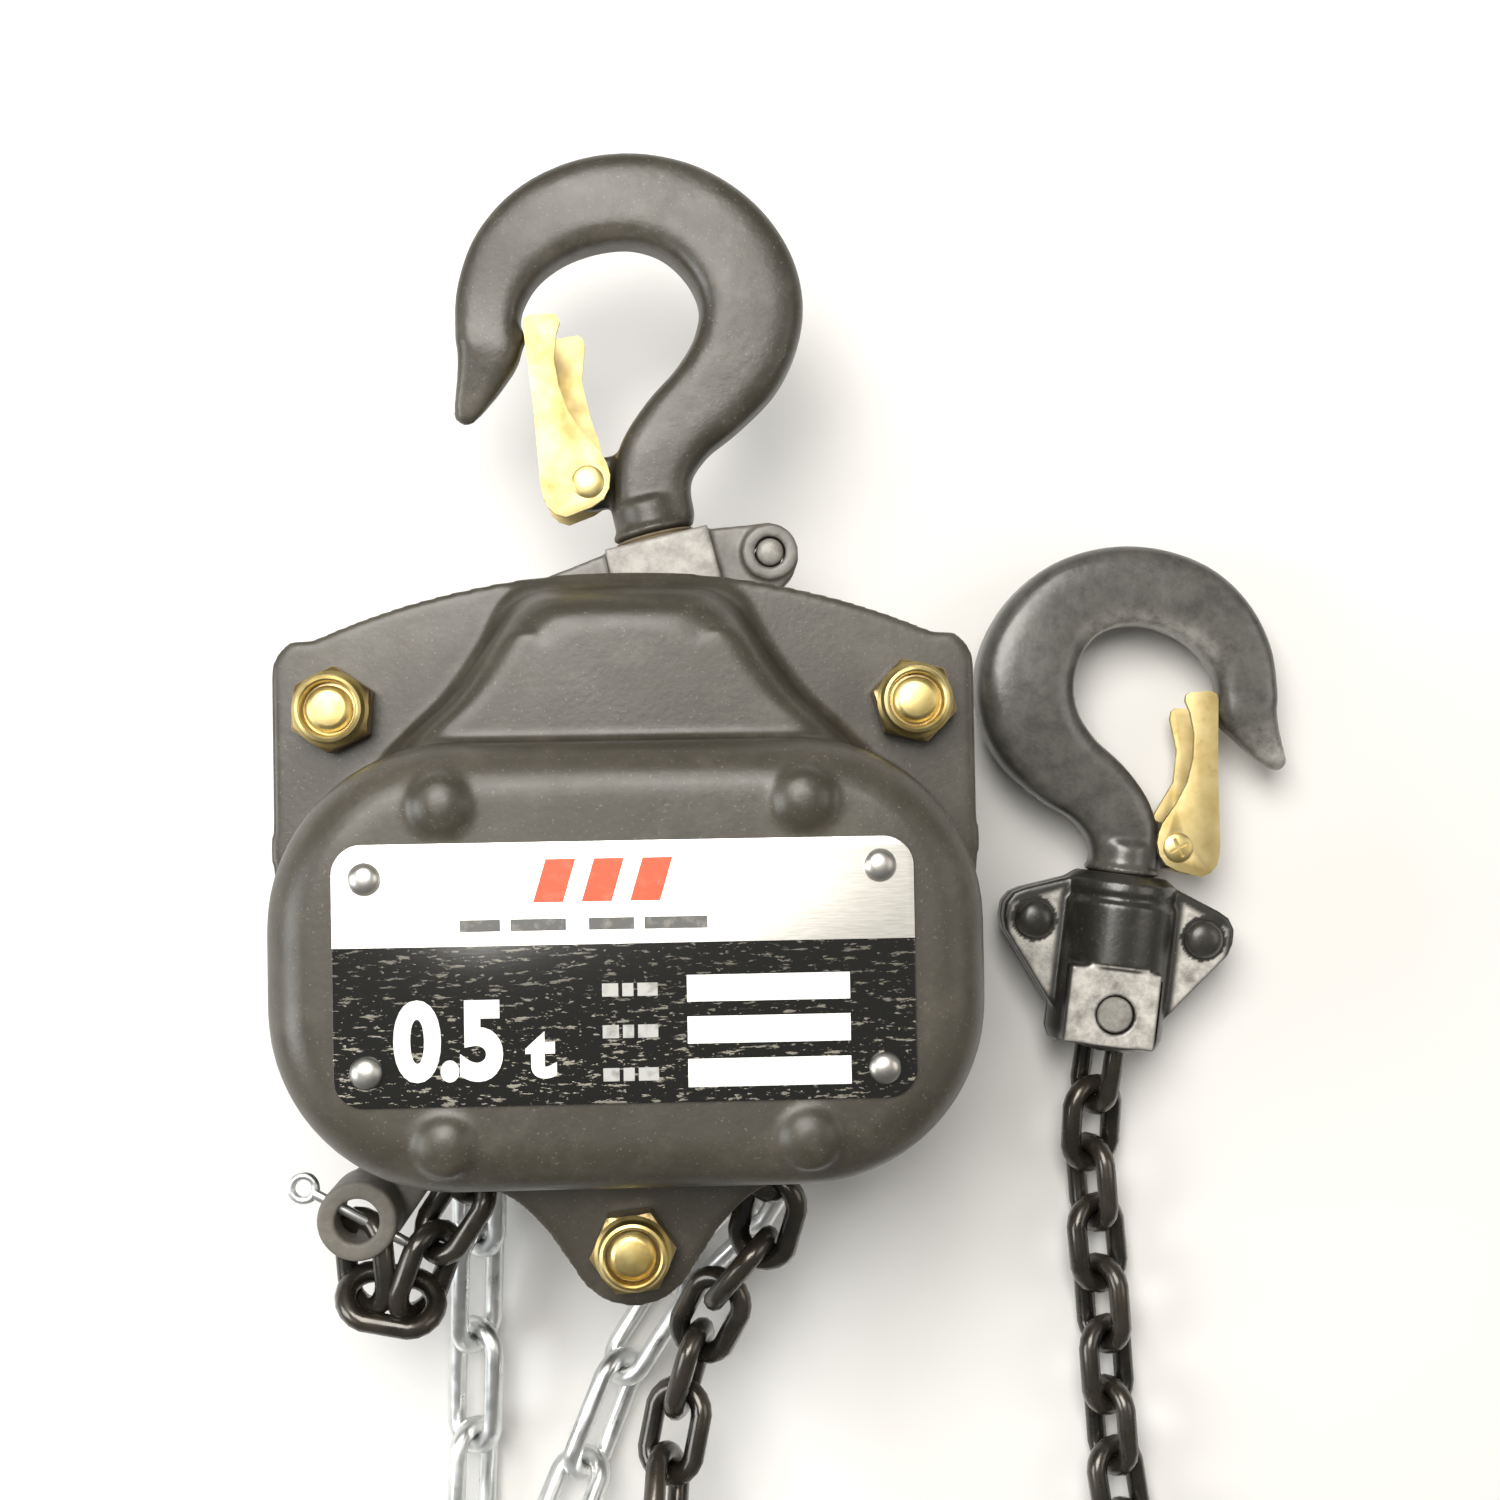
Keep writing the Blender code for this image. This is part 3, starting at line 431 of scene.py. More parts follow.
class Nodes:
    """Lays out the nodes of one material round its shader."""

    def __init__(self, name: str) -> None:
        """Start a material with an empty Principled shader.

        Args:
            name: The material's name.
        """
        self.material = bpy.data.materials.new(name)
        self.material.use_nodes = True
        self.tree = self.material.node_tree
        self.shader = self.tree.nodes["Principled BSDF"]
        self.place = self.add("ShaderNodeTexCoord").outputs["Object"]

    def add(self, kind: str, **settings) -> bpy.types.Node:
        """Add a node and set its properties."""
        node = self.tree.nodes.new(kind)
        for key, value in settings.items():
            setattr(node, key, value)
        return node

    def feed(self, socket: bpy.types.NodeSocket, value) -> None:
        """Link a socket to another node's output, or set its value."""
        if isinstance(value, bpy.types.NodeSocket):
            self.tree.links.new(value, socket)
        else:
            socket.default_value = value

    def noise(self, scale: float, detail: float = 3.0, stretch: tuple = (1.0, 1.0, 1.0),
              roughness: float = 0.55) -> bpy.types.NodeSocket:
        """A cloud pattern on the piece's own coordinates.

        Args:
            scale: Cycles to a metre.
            detail: Octaves.
            stretch: Scale along each axis.
            roughness: Weight of the fine octaves.

        Returns:
            The pattern's value.
        """
        mapping = self.add("ShaderNodeMapping")
        self.feed(mapping.inputs["Vector"], self.place)
        mapping.inputs["Scale"].default_value = stretch
        cloud = self.add("ShaderNodeTexNoise")
        self.feed(cloud.inputs["Vector"], mapping.outputs["Vector"])
        cloud.inputs["Scale"].default_value = scale
        cloud.inputs["Detail"].default_value = detail
        cloud.inputs["Roughness"].default_value = roughness
        return cloud.outputs["Fac"]

    def span(self, value, low: float, high: float, to_low: float = 0.0, to_high: float = 1.0) -> bpy.types.NodeSocket:
        """Stretch a value's range to another, clamped at both ends."""
        node = self.add("ShaderNodeMapRange")
        for key, setting in (("Value", value), ("From Min", low), ("From Max", high), ("To Min", to_low),
                             ("To Max", to_high)):
            self.feed(node.inputs[key], setting)
        return node.outputs["Result"]

    def mix(self, share, first, second) -> bpy.types.NodeSocket:
        """Mix two colours by a share."""
        node = self.add("ShaderNodeMix", data_type="RGBA")
        for index, value in ((0, share), (6, first), (7, second)):
            if isinstance(value, tuple):
                value = (*value, 1.0)
            self.feed(node.inputs[index], value)
        return node.outputs[2]

    def sums(self, operation: str, first, second) -> bpy.types.NodeSocket:
        """Work out one value from two."""
        node = self.add("ShaderNodeMath", operation=operation)
        self.feed(node.inputs[0], first)
        self.feed(node.inputs[1], second)
        return node.outputs[0]

    def edges(self, low: float, high: float) -> bpy.types.NodeSocket:
        """How far a point lies on an outer edge, where handling wears the skin."""
        return self.span(self.add("ShaderNodeNewGeometry").outputs["Pointiness"], low, high)

    def bump(self, height, strength: float, depth: float) -> None:
        """Raise the surface by a pattern.

        Args:
            height: The pattern.
            strength: Share of the effect.
            depth: Height of the relief in metres.
        """
        node = self.add("ShaderNodeBump")
        node.inputs["Strength"].default_value = strength
        node.inputs["Distance"].default_value = depth
        self.feed(node.inputs["Height"], height)
        self.feed(self.shader.inputs["Normal"], node.outputs["Normal"])

    def surface(self, colour, roughness, metallic: float = 0.0, coat: float = 0.0, coat_roughness: float = 0.2,
                specular: float = 0.5) -> bpy.types.Material:
        """Feed the shader and hand over the material."""
        inputs = self.shader.inputs
        self.feed(inputs["Base Color"], (*colour, 1.0) if isinstance(colour, tuple) else colour)
        self.feed(inputs["Roughness"], roughness)
        inputs["Metallic"].default_value = metallic
        inputs["Coat Weight"].default_value = coat
        inputs["Coat Roughness"].default_value = coat_roughness
        inputs["Specular IOR Level"].default_value = specular
        return self.material


@dataclass(frozen=True)
class PaintFinish:
    """Sprayed enamel with a fine orange peel, cloudy gloss, a little dust and rubbed edges."""

    name: str
    deep: Colour
    rubbed: Colour
    gloss: tuple[float, float] = (0.36, 0.5)
    peel: float = 700.0
    relief: float = 0.00006
    wear: float = 0.5
    coat: float = 0.0
    dust: float = 0.2
    bare: Colour = (0.13, 0.118, 0.095)

    def material(self) -> bpy.types.Material:
        """Return the paint as a material."""
        nodes = Nodes(self.name)
        cloud = nodes.noise(26.0, 4.0)
        fine = nodes.noise(self.peel, 2.0)
        specks = nodes.span(nodes.noise(1500.0, 1.0), 0.68, 0.74)
        lifted = tuple(value * 1.35 for value in self.deep)
        colour = nodes.mix(nodes.span(cloud, 0.35, 0.7), self.deep, lifted)
        dusty = nodes.sums("MULTIPLY", nodes.span(nodes.noise(90.0, 6.0, roughness=0.7), 0.5, 0.78), self.dust)
        colour = nodes.mix(dusty, colour, self.rubbed)
        worn = nodes.sums("MULTIPLY", nodes.edges(0.52, 0.60), nodes.span(nodes.noise(160.0, 5.0), 0.42, 0.66))
        colour = nodes.mix(nodes.sums("MULTIPLY", worn, self.wear), colour, self.rubbed)
        rub = nodes.add("ShaderNodeAttribute", attribute_name="rub").outputs["Fac"]
        patchy = nodes.sums("MULTIPLY", rub, nodes.span(nodes.noise(210.0, 6.0, roughness=0.7), 0.32, 0.6, 0.35, 1.0))
        colour = nodes.mix(patchy, colour, self.bare)
        colour = nodes.mix(nodes.sums("MULTIPLY", specks, 0.35), colour, self.rubbed)
        gloss = nodes.span(nodes.noise(48.0, 5.0, roughness=0.65), 0.3, 0.72, *self.gloss)
        nodes.bump(nodes.sums("ADD", fine, nodes.sums("MULTIPLY", cloud, 1.5)), 0.6, self.relief)
        return nodes.surface(colour, gloss, 0.0, self.coat, 0.25)


@dataclass(frozen=True)
class PlatedFinish:
    """Zinc plate: cloudy tint, fine brushing and dull patches."""

    name: str
    bright: Colour
    tinted: Colour
    gloss: tuple[float, float] = (0.18, 0.36)
    grain: float = 420.0
    relief: float = 0.00003
    grime: Colour = (0.12, 0.09, 0.05)
    soiling: float = 0.35

    def material(self) -> bpy.types.Material:
        """Return the plating as a material."""
        nodes = Nodes(self.name)
        colour = nodes.mix(nodes.span(nodes.noise(130.0, 3.0), 0.36, 0.66), self.bright, self.tinted)
        spots = nodes.sums("MULTIPLY", nodes.span(nodes.noise(260.0, 5.0, roughness=0.7), 0.6, 0.74), self.soiling)
        colour = nodes.mix(spots, colour, self.grime)
        gloss = nodes.span(nodes.noise(200.0, 5.0), 0.3, 0.7, *self.gloss)
        nodes.bump(nodes.noise(self.grain, 4.0), 0.7, self.relief)
        return nodes.surface(colour, gloss, 1.0)


@dataclass(frozen=True)
class ChainFinish:
    """Blackened hardened chain: oily gloss, brown bloom and rubbed crowns."""

    name: str
    deep: Colour
    bloom: Colour

    def material(self) -> bpy.types.Material:
        """Return the chain's skin as a material."""
        nodes = Nodes(self.name)
        colour = nodes.mix(nodes.span(nodes.noise(95.0, 5.0), 0.4, 0.66), self.deep, self.bloom)
        colour = nodes.mix(nodes.sums("MULTIPLY", nodes.edges(0.54, 0.66), 0.35), colour, (0.30, 0.26, 0.20))
        gloss = nodes.span(nodes.noise(240.0, 4.0), 0.3, 0.7, 0.2, 0.42)
        nodes.bump(nodes.noise(600.0, 4.0), 0.6, 0.00006)
        return nodes.surface(colour, gloss, 0.55, 0.5, 0.12)


@dataclass(frozen=True)
class NamePlateFinish:
    """Brushed aluminium above, and black print below that is scuffed through in short level strokes."""

    name: str
    split: float = 0.0058

    def material(self) -> bpy.types.Material:
        """Return the plate's face as a material."""
        nodes = Nodes(self.name)
        parts = nodes.add("ShaderNodeSeparateXYZ")
        nodes.feed(parts.inputs[0], nodes.place)
        above = nodes.sums("GREATER_THAN", parts.outputs["Y"], self.split)
        brushed = nodes.noise(260.0, 3.0, (1.0, 14.0, 1.0))
        bare = nodes.mix(nodes.span(brushed, 0.3, 0.7), (0.83, 0.82, 0.77), (0.66, 0.64, 0.58))
        strokes = nodes.span(nodes.noise(210.0, 4.0, (1.0, 4.2, 1.0), 0.7), 0.585, 0.63)
        flecks = nodes.span(nodes.noise(620.0, 2.0, (1.0, 2.2, 1.0)), 0.665, 0.70)
        near_foot = nodes.span(parts.outputs["Y"], -0.002, -0.024, 0.25, 1.0)
        scuffed = nodes.sums("MULTIPLY", nodes.sums("MAXIMUM", strokes, flecks), near_foot)
        printed = nodes.mix(scuffed, (0.012, 0.012, 0.011), (0.62, 0.58, 0.48))
        colour = nodes.mix(above, printed, bare)
        metal = nodes.sums("MAXIMUM", above, scuffed)
        nodes.feed(nodes.shader.inputs["Metallic"], nodes.sums("MULTIPLY", metal, 0.85))
        rough = nodes.span(metal, 0.0, 1.0, 0.16, 0.34)
        nodes.bump(nodes.sums("ADD", nodes.sums("MULTIPLY", brushed, 0.4), scuffed), 0.4, 0.00004)
        metallic_link = nodes.shader.inputs["Metallic"].links[0].from_socket
        made = nodes.surface(colour, rough)
        nodes.feed(nodes.shader.inputs["Metallic"], metallic_link)
        return made


@dataclass(frozen=True)
class InkFinish:
    """Screen-printed ink, a little patchy."""

    name: str
    colour: Colour
    patch: Colour

    def material(self) -> bpy.types.Material:
        """Return the ink as a material."""
        nodes = Nodes(self.name)
        colour = nodes.mix(nodes.span(nodes.noise(420.0, 4.0), 0.5, 0.72), self.colour, self.patch)
        nodes.bump(nodes.noise(900.0, 2.0), 0.3, 0.00002)
        return nodes.surface(colour, nodes.span(nodes.noise(150.0), 0.3, 0.7, 0.35, 0.5))


class Finishes:
    """Every finish on the hoist, made once."""

    def __init__(self) -> None:
        """Mix the paints and platings."""
        self.cover = PaintFinish("cover_enamel", (0.036, 0.032, 0.023), (0.20, 0.18, 0.145), (0.33, 0.46)).material()
        self.hook = PaintFinish("hook_enamel", (0.026, 0.023, 0.016), (0.22, 0.20, 0.165), (0.32, 0.45), 520.0,
                                0.00012, 0.6).material()
        self.gloss_black = PaintFinish("block_enamel", (0.016, 0.015, 0.012), (0.15, 0.14, 0.115), (0.26, 0.40), 420.0,
                                       0.00012, 0.8, 0.3, bare=(0.62, 0.60, 0.55)).material()
        self.side = PaintFinish("inner_enamel", (0.040, 0.038, 0.032), (0.16, 0.15, 0.12), (0.4, 0.55)).material()
        self.yoke = PaintFinish("yoke_enamel", (0.032, 0.029, 0.022), (0.22, 0.20, 0.165), (0.32, 0.45),
                                 bare=(0.44, 0.42, 0.38)).material()
        self.gold = PlatedFinish("yellow_zinc", (0.66, 0.545, 0.25), (0.52, 0.385, 0.13), (0.3, 0.46)).material()
        self.latch = PlatedFinish("latch_zinc", (0.60, 0.50, 0.26), (0.46, 0.35, 0.14), (0.46, 0.6)).material()
        self.bronze = PlatedFinish("dull_yellow_zinc", (0.50, 0.37, 0.16), (0.26, 0.19, 0.10), (0.24, 0.4)).material()
        self.silver = PlatedFinish("bright_zinc", (0.90, 0.91, 0.90), (0.74, 0.76, 0.76), (0.26, 0.46),
                                   grain=300.0, relief=0.00006, soiling=0.2).material()
        self.steel = PlatedFinish("turned_steel", (0.42, 0.42, 0.42), (0.27, 0.27, 0.27), (0.25, 0.45)).material()
        self.dusty = PaintFinish("rusty_dust", (0.10, 0.075, 0.045), (0.24, 0.18, 0.11), (0.7, 0.9), 900.0, 0.0003,
                                 0.4, 0.0, 0.6).material()
        self.end_grain = PaintFinish("sawn_end", (0.10, 0.094, 0.082), (0.26, 0.24, 0.20), (0.5, 0.7), 340.0, 0.0005,
                                     0.6, 0.0, 0.6).material()
        self.chain = ChainFinish("black_chain", (0.013, 0.012, 0.010), (0.038, 0.031, 0.022)).material()
        self.rivet = PlatedFinish("dull_aluminium", (0.60, 0.59, 0.55), (0.40, 0.39, 0.36), (0.3, 0.45)).material()
        self.lining = PaintFinish("brake_lining", (0.20, 0.12, 0.07), (0.32, 0.22, 0.14), (0.8, 0.95)).material()
        self.plate = NamePlateFinish("printed_plate").material()
        self.white_ink = InkFinish("white_ink", (0.88, 0.88, 0.86), (0.62, 0.62, 0.58)).material()
        self.grey_ink = InkFinish("grey_ink", (0.10, 0.10, 0.095), (0.22, 0.21, 0.19)).material()
        self.pale_ink = InkFinish("pale_ink", (0.42, 0.42, 0.40), (0.22, 0.22, 0.20)).material()
        self.red_ink = InkFinish("red_ink", (0.66, 0.085, 0.03), (0.52, 0.12, 0.06)).material()

    def dress_frame(self) -> None:
        """Give the carried-over nodes of the frame their finishes."""
        by_slot = {"cover_paint": self.side, "hook_paint": self.hook, "zinc_yellow": self.bronze,
                   "zinc_bright": self.silver, "chain_black": self.chain, "plate_aluminium": self.steel,
                   "steel": self.steel, "friction_lining": self.lining}
        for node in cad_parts.values():
            for slot in node.material_slots:
                known = slot.material.name.split(".")[0] if slot.material else "steel"
                slot.material = by_slot.get(known, self.steel)


# ---------------------------------------------------------------- studio


@dataclass
class Studio:
    """Pale floor, soft overhead light and the camera."""

    eye: tuple = (11.5, 36.0, 524.0)
    aim: tuple = (26.65, 44.3, 77.0)
    up: tuple = (0.01745, 1.0, 0.0)
    lens: float = 50.0
    sensor: float = 36.0

    def build(self) -> None:
        """Set up the floor, the lights and the camera."""
        self._floor()
        self._lights()
        self._camera()

    def _floor(self) -> None:
        """Lay a broad pale table."""
        bpy.ops.object.select_all(action="DESELECT")
        bpy.ops.mesh.primitive_plane_add(size=8.0, location=(0.0, 0.0, -0.0002))
        floor = bpy.context.active_object
        floor.name = "studio_floor"
        nodes = Nodes("pale_floor")
        colour = nodes.mix(nodes.noise(3.0), (0.76, 0.755, 0.74), (0.80, 0.795, 0.78))
        floor.data.materials.append(nodes.surface(colour, 0.85, specular=0.1))

    def _lights(self) -> None:
        """Hang the soft lights and set the pale surroundings."""
        world = bpy.data.worlds.new("pale_room")
        world.use_nodes = True
        world.node_tree.nodes["Background"].inputs["Color"].default_value = (1.0, 0.985, 0.96, 1.0)
        world.node_tree.nodes["Background"].inputs["Strength"].default_value = 0.2
        bpy.context.scene.world = world
        for name, place, size, power, tint in (
                ("overhead_softbox", (-0.14, 0.40, 1.0), 0.62, 15.0, (1.0, 0.97, 0.92)),
                ("window_side", (-0.9, -0.05, 0.6), 0.5, 6.5, (0.96, 0.98, 1.0)),
                ("right_fill", (0.85, 0.1, 0.75), 0.5, 1.8, (1.0, 0.95, 0.88))):
            bpy.ops.object.light_add(type="AREA", location=place)
            lamp = bpy.context.active_object
            lamp.name = name
            lamp.data.size = size
            lamp.data.energy = power
            lamp.data.color = tint
            aim = Vector((0.03, 0.03, 0.05)) - Vector(place)
            lamp.rotation_euler = aim.to_track_quat("-Z", "Y").to_euler()

    def _camera(self) -> None:
        """Stand the camera over the table."""
        eye, aim = Vector(self.eye) * MM, Vector(self.aim) * MM
        back = (eye - aim).normalized()
        across = Vector(self.up).cross(back).normalized()
        upright = back.cross(across)
        bpy.ops.object.camera_add(location=eye)
        camera = bpy.context.active_object
        camera.data.lens = self.lens
        camera.data.sensor_width = self.sensor
        turn = Matrix((across, upright, back)).transposed().to_4x4()
        camera.matrix_world = Matrix.Translation(eye) @ turn
        camera.data.clip_start = 0.01
        bpy.context.scene.camera = camera
        bpy.context.scene.view_settings.view_transform = "Standard"


# ---------------------------------------------------------------- chains


@dataclass(frozen=True)
class LinkShape:
    """A welded round-wire link."""

    wire: float
    pitch: float
    outer_width: float = 17.0

    def template(self, along: int, around: int) -> tuple[np.ndarray, list]:
        """Model one link lying flat along X, its middle at the origin.

        Args:
            along: Faces along its wire.
            around: Faces round its wire.

        Returns:
            Its points and its faces.
        """
        half_width = (self.outer_width - self.wire) / 2
        bpy.ops.object.select_all(action="DESELECT")
        bpy.ops.mesh.primitive_torus_add(major_segments=along, minor_segments=around, major_radius=half_width,
                                         minor_radius=self.wire / 2)
        link = bpy.context.active_object
        link.data.transform(Matrix.Rotation(math.pi / along, 4, "Z"))
        stretch = (self.pitch + self.wire) / 2 - half_width
        for side in (1.0, -1.0):
            bpy.ops.object.mode_set(mode="EDIT")
            bpy.ops.mesh.select_all(action="DESELECT")
            bpy.ops.object.mode_set(mode="OBJECT")
            for vertex in link.data.vertices:
                vertex.select = vertex.co.x * side > 0.0
            bpy.ops.object.mode_set(mode="EDIT")
            bpy.ops.transform.translate(value=(side * stretch, 0.0, 0.0))
            bpy.ops.object.mode_set(mode="OBJECT")
        points = np.array([tuple(vertex.co) for vertex in link.data.vertices])
        faces = [tuple(face.vertices) for face in link.data.polygons]
        bpy.data.objects.remove(link, do_unlink=True)
        return points, faces


@dataclass
class ChainRun:
    """Links strung along a path, each turned a quarter from the last."""

    name: str
    shape: LinkShape
    path: list
    first_turn: float = 0.0
    loose: float = 9.0
    seed: int = 1
    close_up: tuple[int, int] = (20, 10)
    stowed: tuple[int, int] = (10, 5)
    seen_from: float = -200.0

    def build(self) -> bpy.types.Object:
        """String the links.

        Returns:
            All of the links as one object.
        """
        spots = evenly(self.path, self.shape.pitch)
        fine = self.shape.template(*self.close_up)
        coarse = self.shape.template(*self.stowed)
        rng = random.Random(self.seed)
        points, faces, used = [], [], 0
        upright = Vector((0.0, 0.0, 1.0))
        for index, (start, end) in enumerate(zip(spots, spots[1:])):
            middle = (start + end) / 2
            along = (end - start).normalized()
            upright = (upright - along * upright.dot(along)).normalized()
            quarter = self.first_turn + 90.0 * (index % 2) + rng.uniform(-self.loose, self.loose)
            up = Matrix.Rotation(math.radians(quarter), 3, along) @ upright
            side = up.cross(along)
            shape, skin = fine if middle.y > self.seen_from else coarse
            turn = np.array((along, side, up))
            points.append(shape @ turn + np.array(tuple(middle)))
            faces += [tuple(corner + used for corner in face) for face in skin]
            used += len(shape)
        return new_piece(self.name, np.concatenate(points), [], faces)


def lay_turns(centre: tuple[float, float], start: float, sense: float,
              tracks: Sequence[tuple[float, float, float]]) -> list[Vector]:
    """Wind turns about a coil's centre, moving from one track to the next late in each turn.

    Args:
        centre: The coil's middle.
        start: Angle of the first point in degrees.
        sense: 1 for counter-clockwise, -1 for clockwise.
        tracks: Radius, height and length in degrees of each track.

    Returns:
        Points every ten degrees.
    """
    points, angle = [], start
    step, move = 10.0, 70.0
    for index, (radius, height, sweep) in enumerate(tracks):
        after = tracks[index + 1] if index + 1 < len(tracks) else tracks[index]
        count = round(sweep / step)
        for turn in range(count):
            gone = turn * sweep / count
            share = max(0.0, (gone - (sweep - move)) / move)
            share = share * share * (3.0 - 2.0 * share)
            here = radius + (after[0] - radius) * share
            level = height + (after[1] - height) * share
            place = math.radians(angle + sense * gone)
            points.append(Vector((centre[0] + here * math.cos(place), centre[1] + here * math.sin(place), level)))
        angle += sense * sweep
    return points


@dataclass
class Chains:
    """Both chains: through their wheels, along the table and wound up for storage."""

    coil_centre: tuple = (35.0, -266.0)
    hand_link: LinkShape = LinkShape(4.6, 25.0)
    load_link: LinkShape = LinkShape(5.0, 15.0)
    hand_left: tuple = ((-38.0, -47.0, 21.0), (-38.4, -60.0, 19.5), (-39.6, -82.0, 13.5), (-41.0, -108.0, 9.4),
                        (-42.0, -135.0, 8.8), (-43.6, -156.0, 8.8), (-46.8, -180.0, 8.8))
    hand_right: tuple = ((38.0, -47.0, 21.0), (36.6, -54.5, 19.6), (30.0, -63.5, 15.8), (19.5, -73.0, 11.4),
                         (8.0, -85.0, 9.0), (-3.0, -101.0, 8.8), (-12.0, -121.0, 9.2), (-16.5, -133.0, 12.5),
                         (-21.5, -144.0, 19.0), (-28.0, -153.5, 27.0), (-36.5, -162.5, 34.5),
                         (-46.0, -172.0, 40.0), (-56.0, -183.5, 43.2), (-64.0, -196.5, 43.6),
                         (-67.4, -208.0, 43.6))
    load_run: tuple = ((31.2, -53.4, 59.6), (30.6, -60.5, 58.0), (26.2, -69.0, 53.5), (18.9, -78.5, 48.0),
                       (12.9, -91.4, 42.5), (8.6, -107.7, 39.5), (6.0, -120.7, 41.8), (5.2, -131.0, 48.5),
                       (1.5, -141.0, 57.5), (-7.0, -149.5, 66.0), (-20.0, -156.0, 72.5), (-35.0, -163.0, 76.8),
                       (-48.0, -173.5, 79.0), (-57.5, -187.0, 79.2), (-63.5, -203.0, 79.2), (-66.6, -218.0, 79.0))
    load_lead: tuple = ((113.8, -26.0, 14.8), (112.6, -35.0, 13.4), (111.2, -53.0, 9.6), (113.4, -84.0, 8.8),
                        (115.0, -115.0, 8.8), (116.3, -135.0, 8.8), (118.8, -150.0, 10.6), (123.2, -164.0, 16.5),
                        (128.3, -176.0, 25.5), (133.5, -187.5, 37.0), (138.4, -199.5, 49.5), (142.6, -212.0, 61.5),
                        (146.0, -225.5, 72.5), (147.0, -239.0, 81.5), (146.3, -252.5, 88.0))
    fold_radii: tuple = (36.0, 47.3)
    hand_wheel_radius: float = 38.0
    hand_level: float = 21.0
    sheave_radius: float = 24.4
    sheave_level: float = 59.6

    def build(self, finishes: Finishes) -> None:
        """String and dress every chain.

        Args:
            finishes: The hoist's finishes.
        """
        hand = self._hand_loop()
        self._declare("hand_chain", self.hand_link, hand, finishes.silver,
                      ("hand_chain_left", "hand_chain_right", "hand_chain_coil"), 38.0)
        load = self._load_chain()
        self._declare("load_chain", self.load_link, load, finishes.chain,
                      ("load_chain_run", "load_chain_lead", "load_chain_coil"), 20.0)
        self._in_wheels(finishes)

    def _declare(self, name: str, shape: LinkShape, path: list, finish: bpy.types.Material,
                 stands_for: tuple, first_turn: float) -> None:
        """String one free chain, log how far it runs and dress it.

        Args:
            name: The piece's name.
            shape: Its link.
            path: Its centre line.
            finish: Its material.
            stands_for: The nodes it replaces.
            first_turn: How far the first link is turned, in degrees.
        """
        walked = sum((b - a).length for a, b in zip(path, path[1:])) * MM
        LOG.info("%s runs for %.3f m", name, walked)
        piece = ChainRun(name, shape, path, first_turn, seed=len(name)).build()
        dress(piece, finish, Body.FRAME, stands_for, sharp=60.0)

    def _at_coil(self, points: Sequence[Sequence[float]]) -> list[Vector]:
        """Move points given about the coil's middle to their place."""
        return [Vector((x + self.coil_centre[0], y + self.coil_centre[1], z)) for x, y, z in points]

    def _hand_loop(self) -> list[Vector]:
        """The endless hand chain, from its left mouth round the coil and back to its right mouth."""
        outer, inner = 100.6, 83.3
        first, second, third, fourth = 8.8, 26.2, 43.6, 61.0
        out = lay_turns(self.coil_centre, 150.0, 1.0, ((outer, first, 360.0), (outer, second, 360.0),
                                                      (inner, second, 360.0), (inner, first, 390.0)))
        back = lay_turns(self.coil_centre, 0.0, -1.0, ((inner, third, 360.0), (inner, fourth, 360.0),
                                                      (outer, fourth, 360.0), (outer, third, 185.0)))
        knots = list(self.hand_left) + out[1:] + self._fold(inner, first, third) + back[1:]
        return smooth_route(knots + list(reversed(self.hand_right)), 4)

    def _fold(self, track: float, low: float, high: float) -> list[Vector]:
        """Turn the chain back inside the coil, in one bend on the table and one that climbs.

        Args:
            track: Radius of the coil's inner track.
            low: Level of the chain on the table.
            high: Level that it climbs to.

        Returns:
            The points between the two windings.
        """
        tight, wide = self.fold_radii
        points = [(x, y, low) for x, y in arc((tight - track, 0.0), tight, 180.0, 360.0, 10)[:-1]]
        climb = arc((track - wide, 0.0), wide, 180.0, 0.0, 12)
        for step, (x, y) in enumerate(climb):
            share = min(1.0, step / (0.8 * (len(climb) - 1)))
            points.append((x, y, low + (high - low) * share * share * (3.0 - 2.0 * share)))
        return self._at_coil(points)

    def _load_chain(self) -> list[Vector]:
        """The load chain from the sheave's mouth round its own coil and up to the load block."""
        outer, middle, inner = 93.3, 76.0, 58.7
        low, high = 79.0, 96.5
        turns = lay_turns(self.coil_centre, 185.0, 1.0, (
            (outer, low, 360.0), (middle, low, 360.0), (inner, low, 360.0), (inner, high, 360.0),
            (middle, high, 360.0), (outer, high, 150.0)))
        joining = self._at_coil([(-100.0, 17.6, low)])
        leaving = self._at_coil([(97.3, -20.7, 96.0), (106.5, -3.0, 93.2)])
        knots = list(self.load_run) + joining + turns + leaving + list(reversed(self.load_lead))
        return smooth_route(knots, 4)

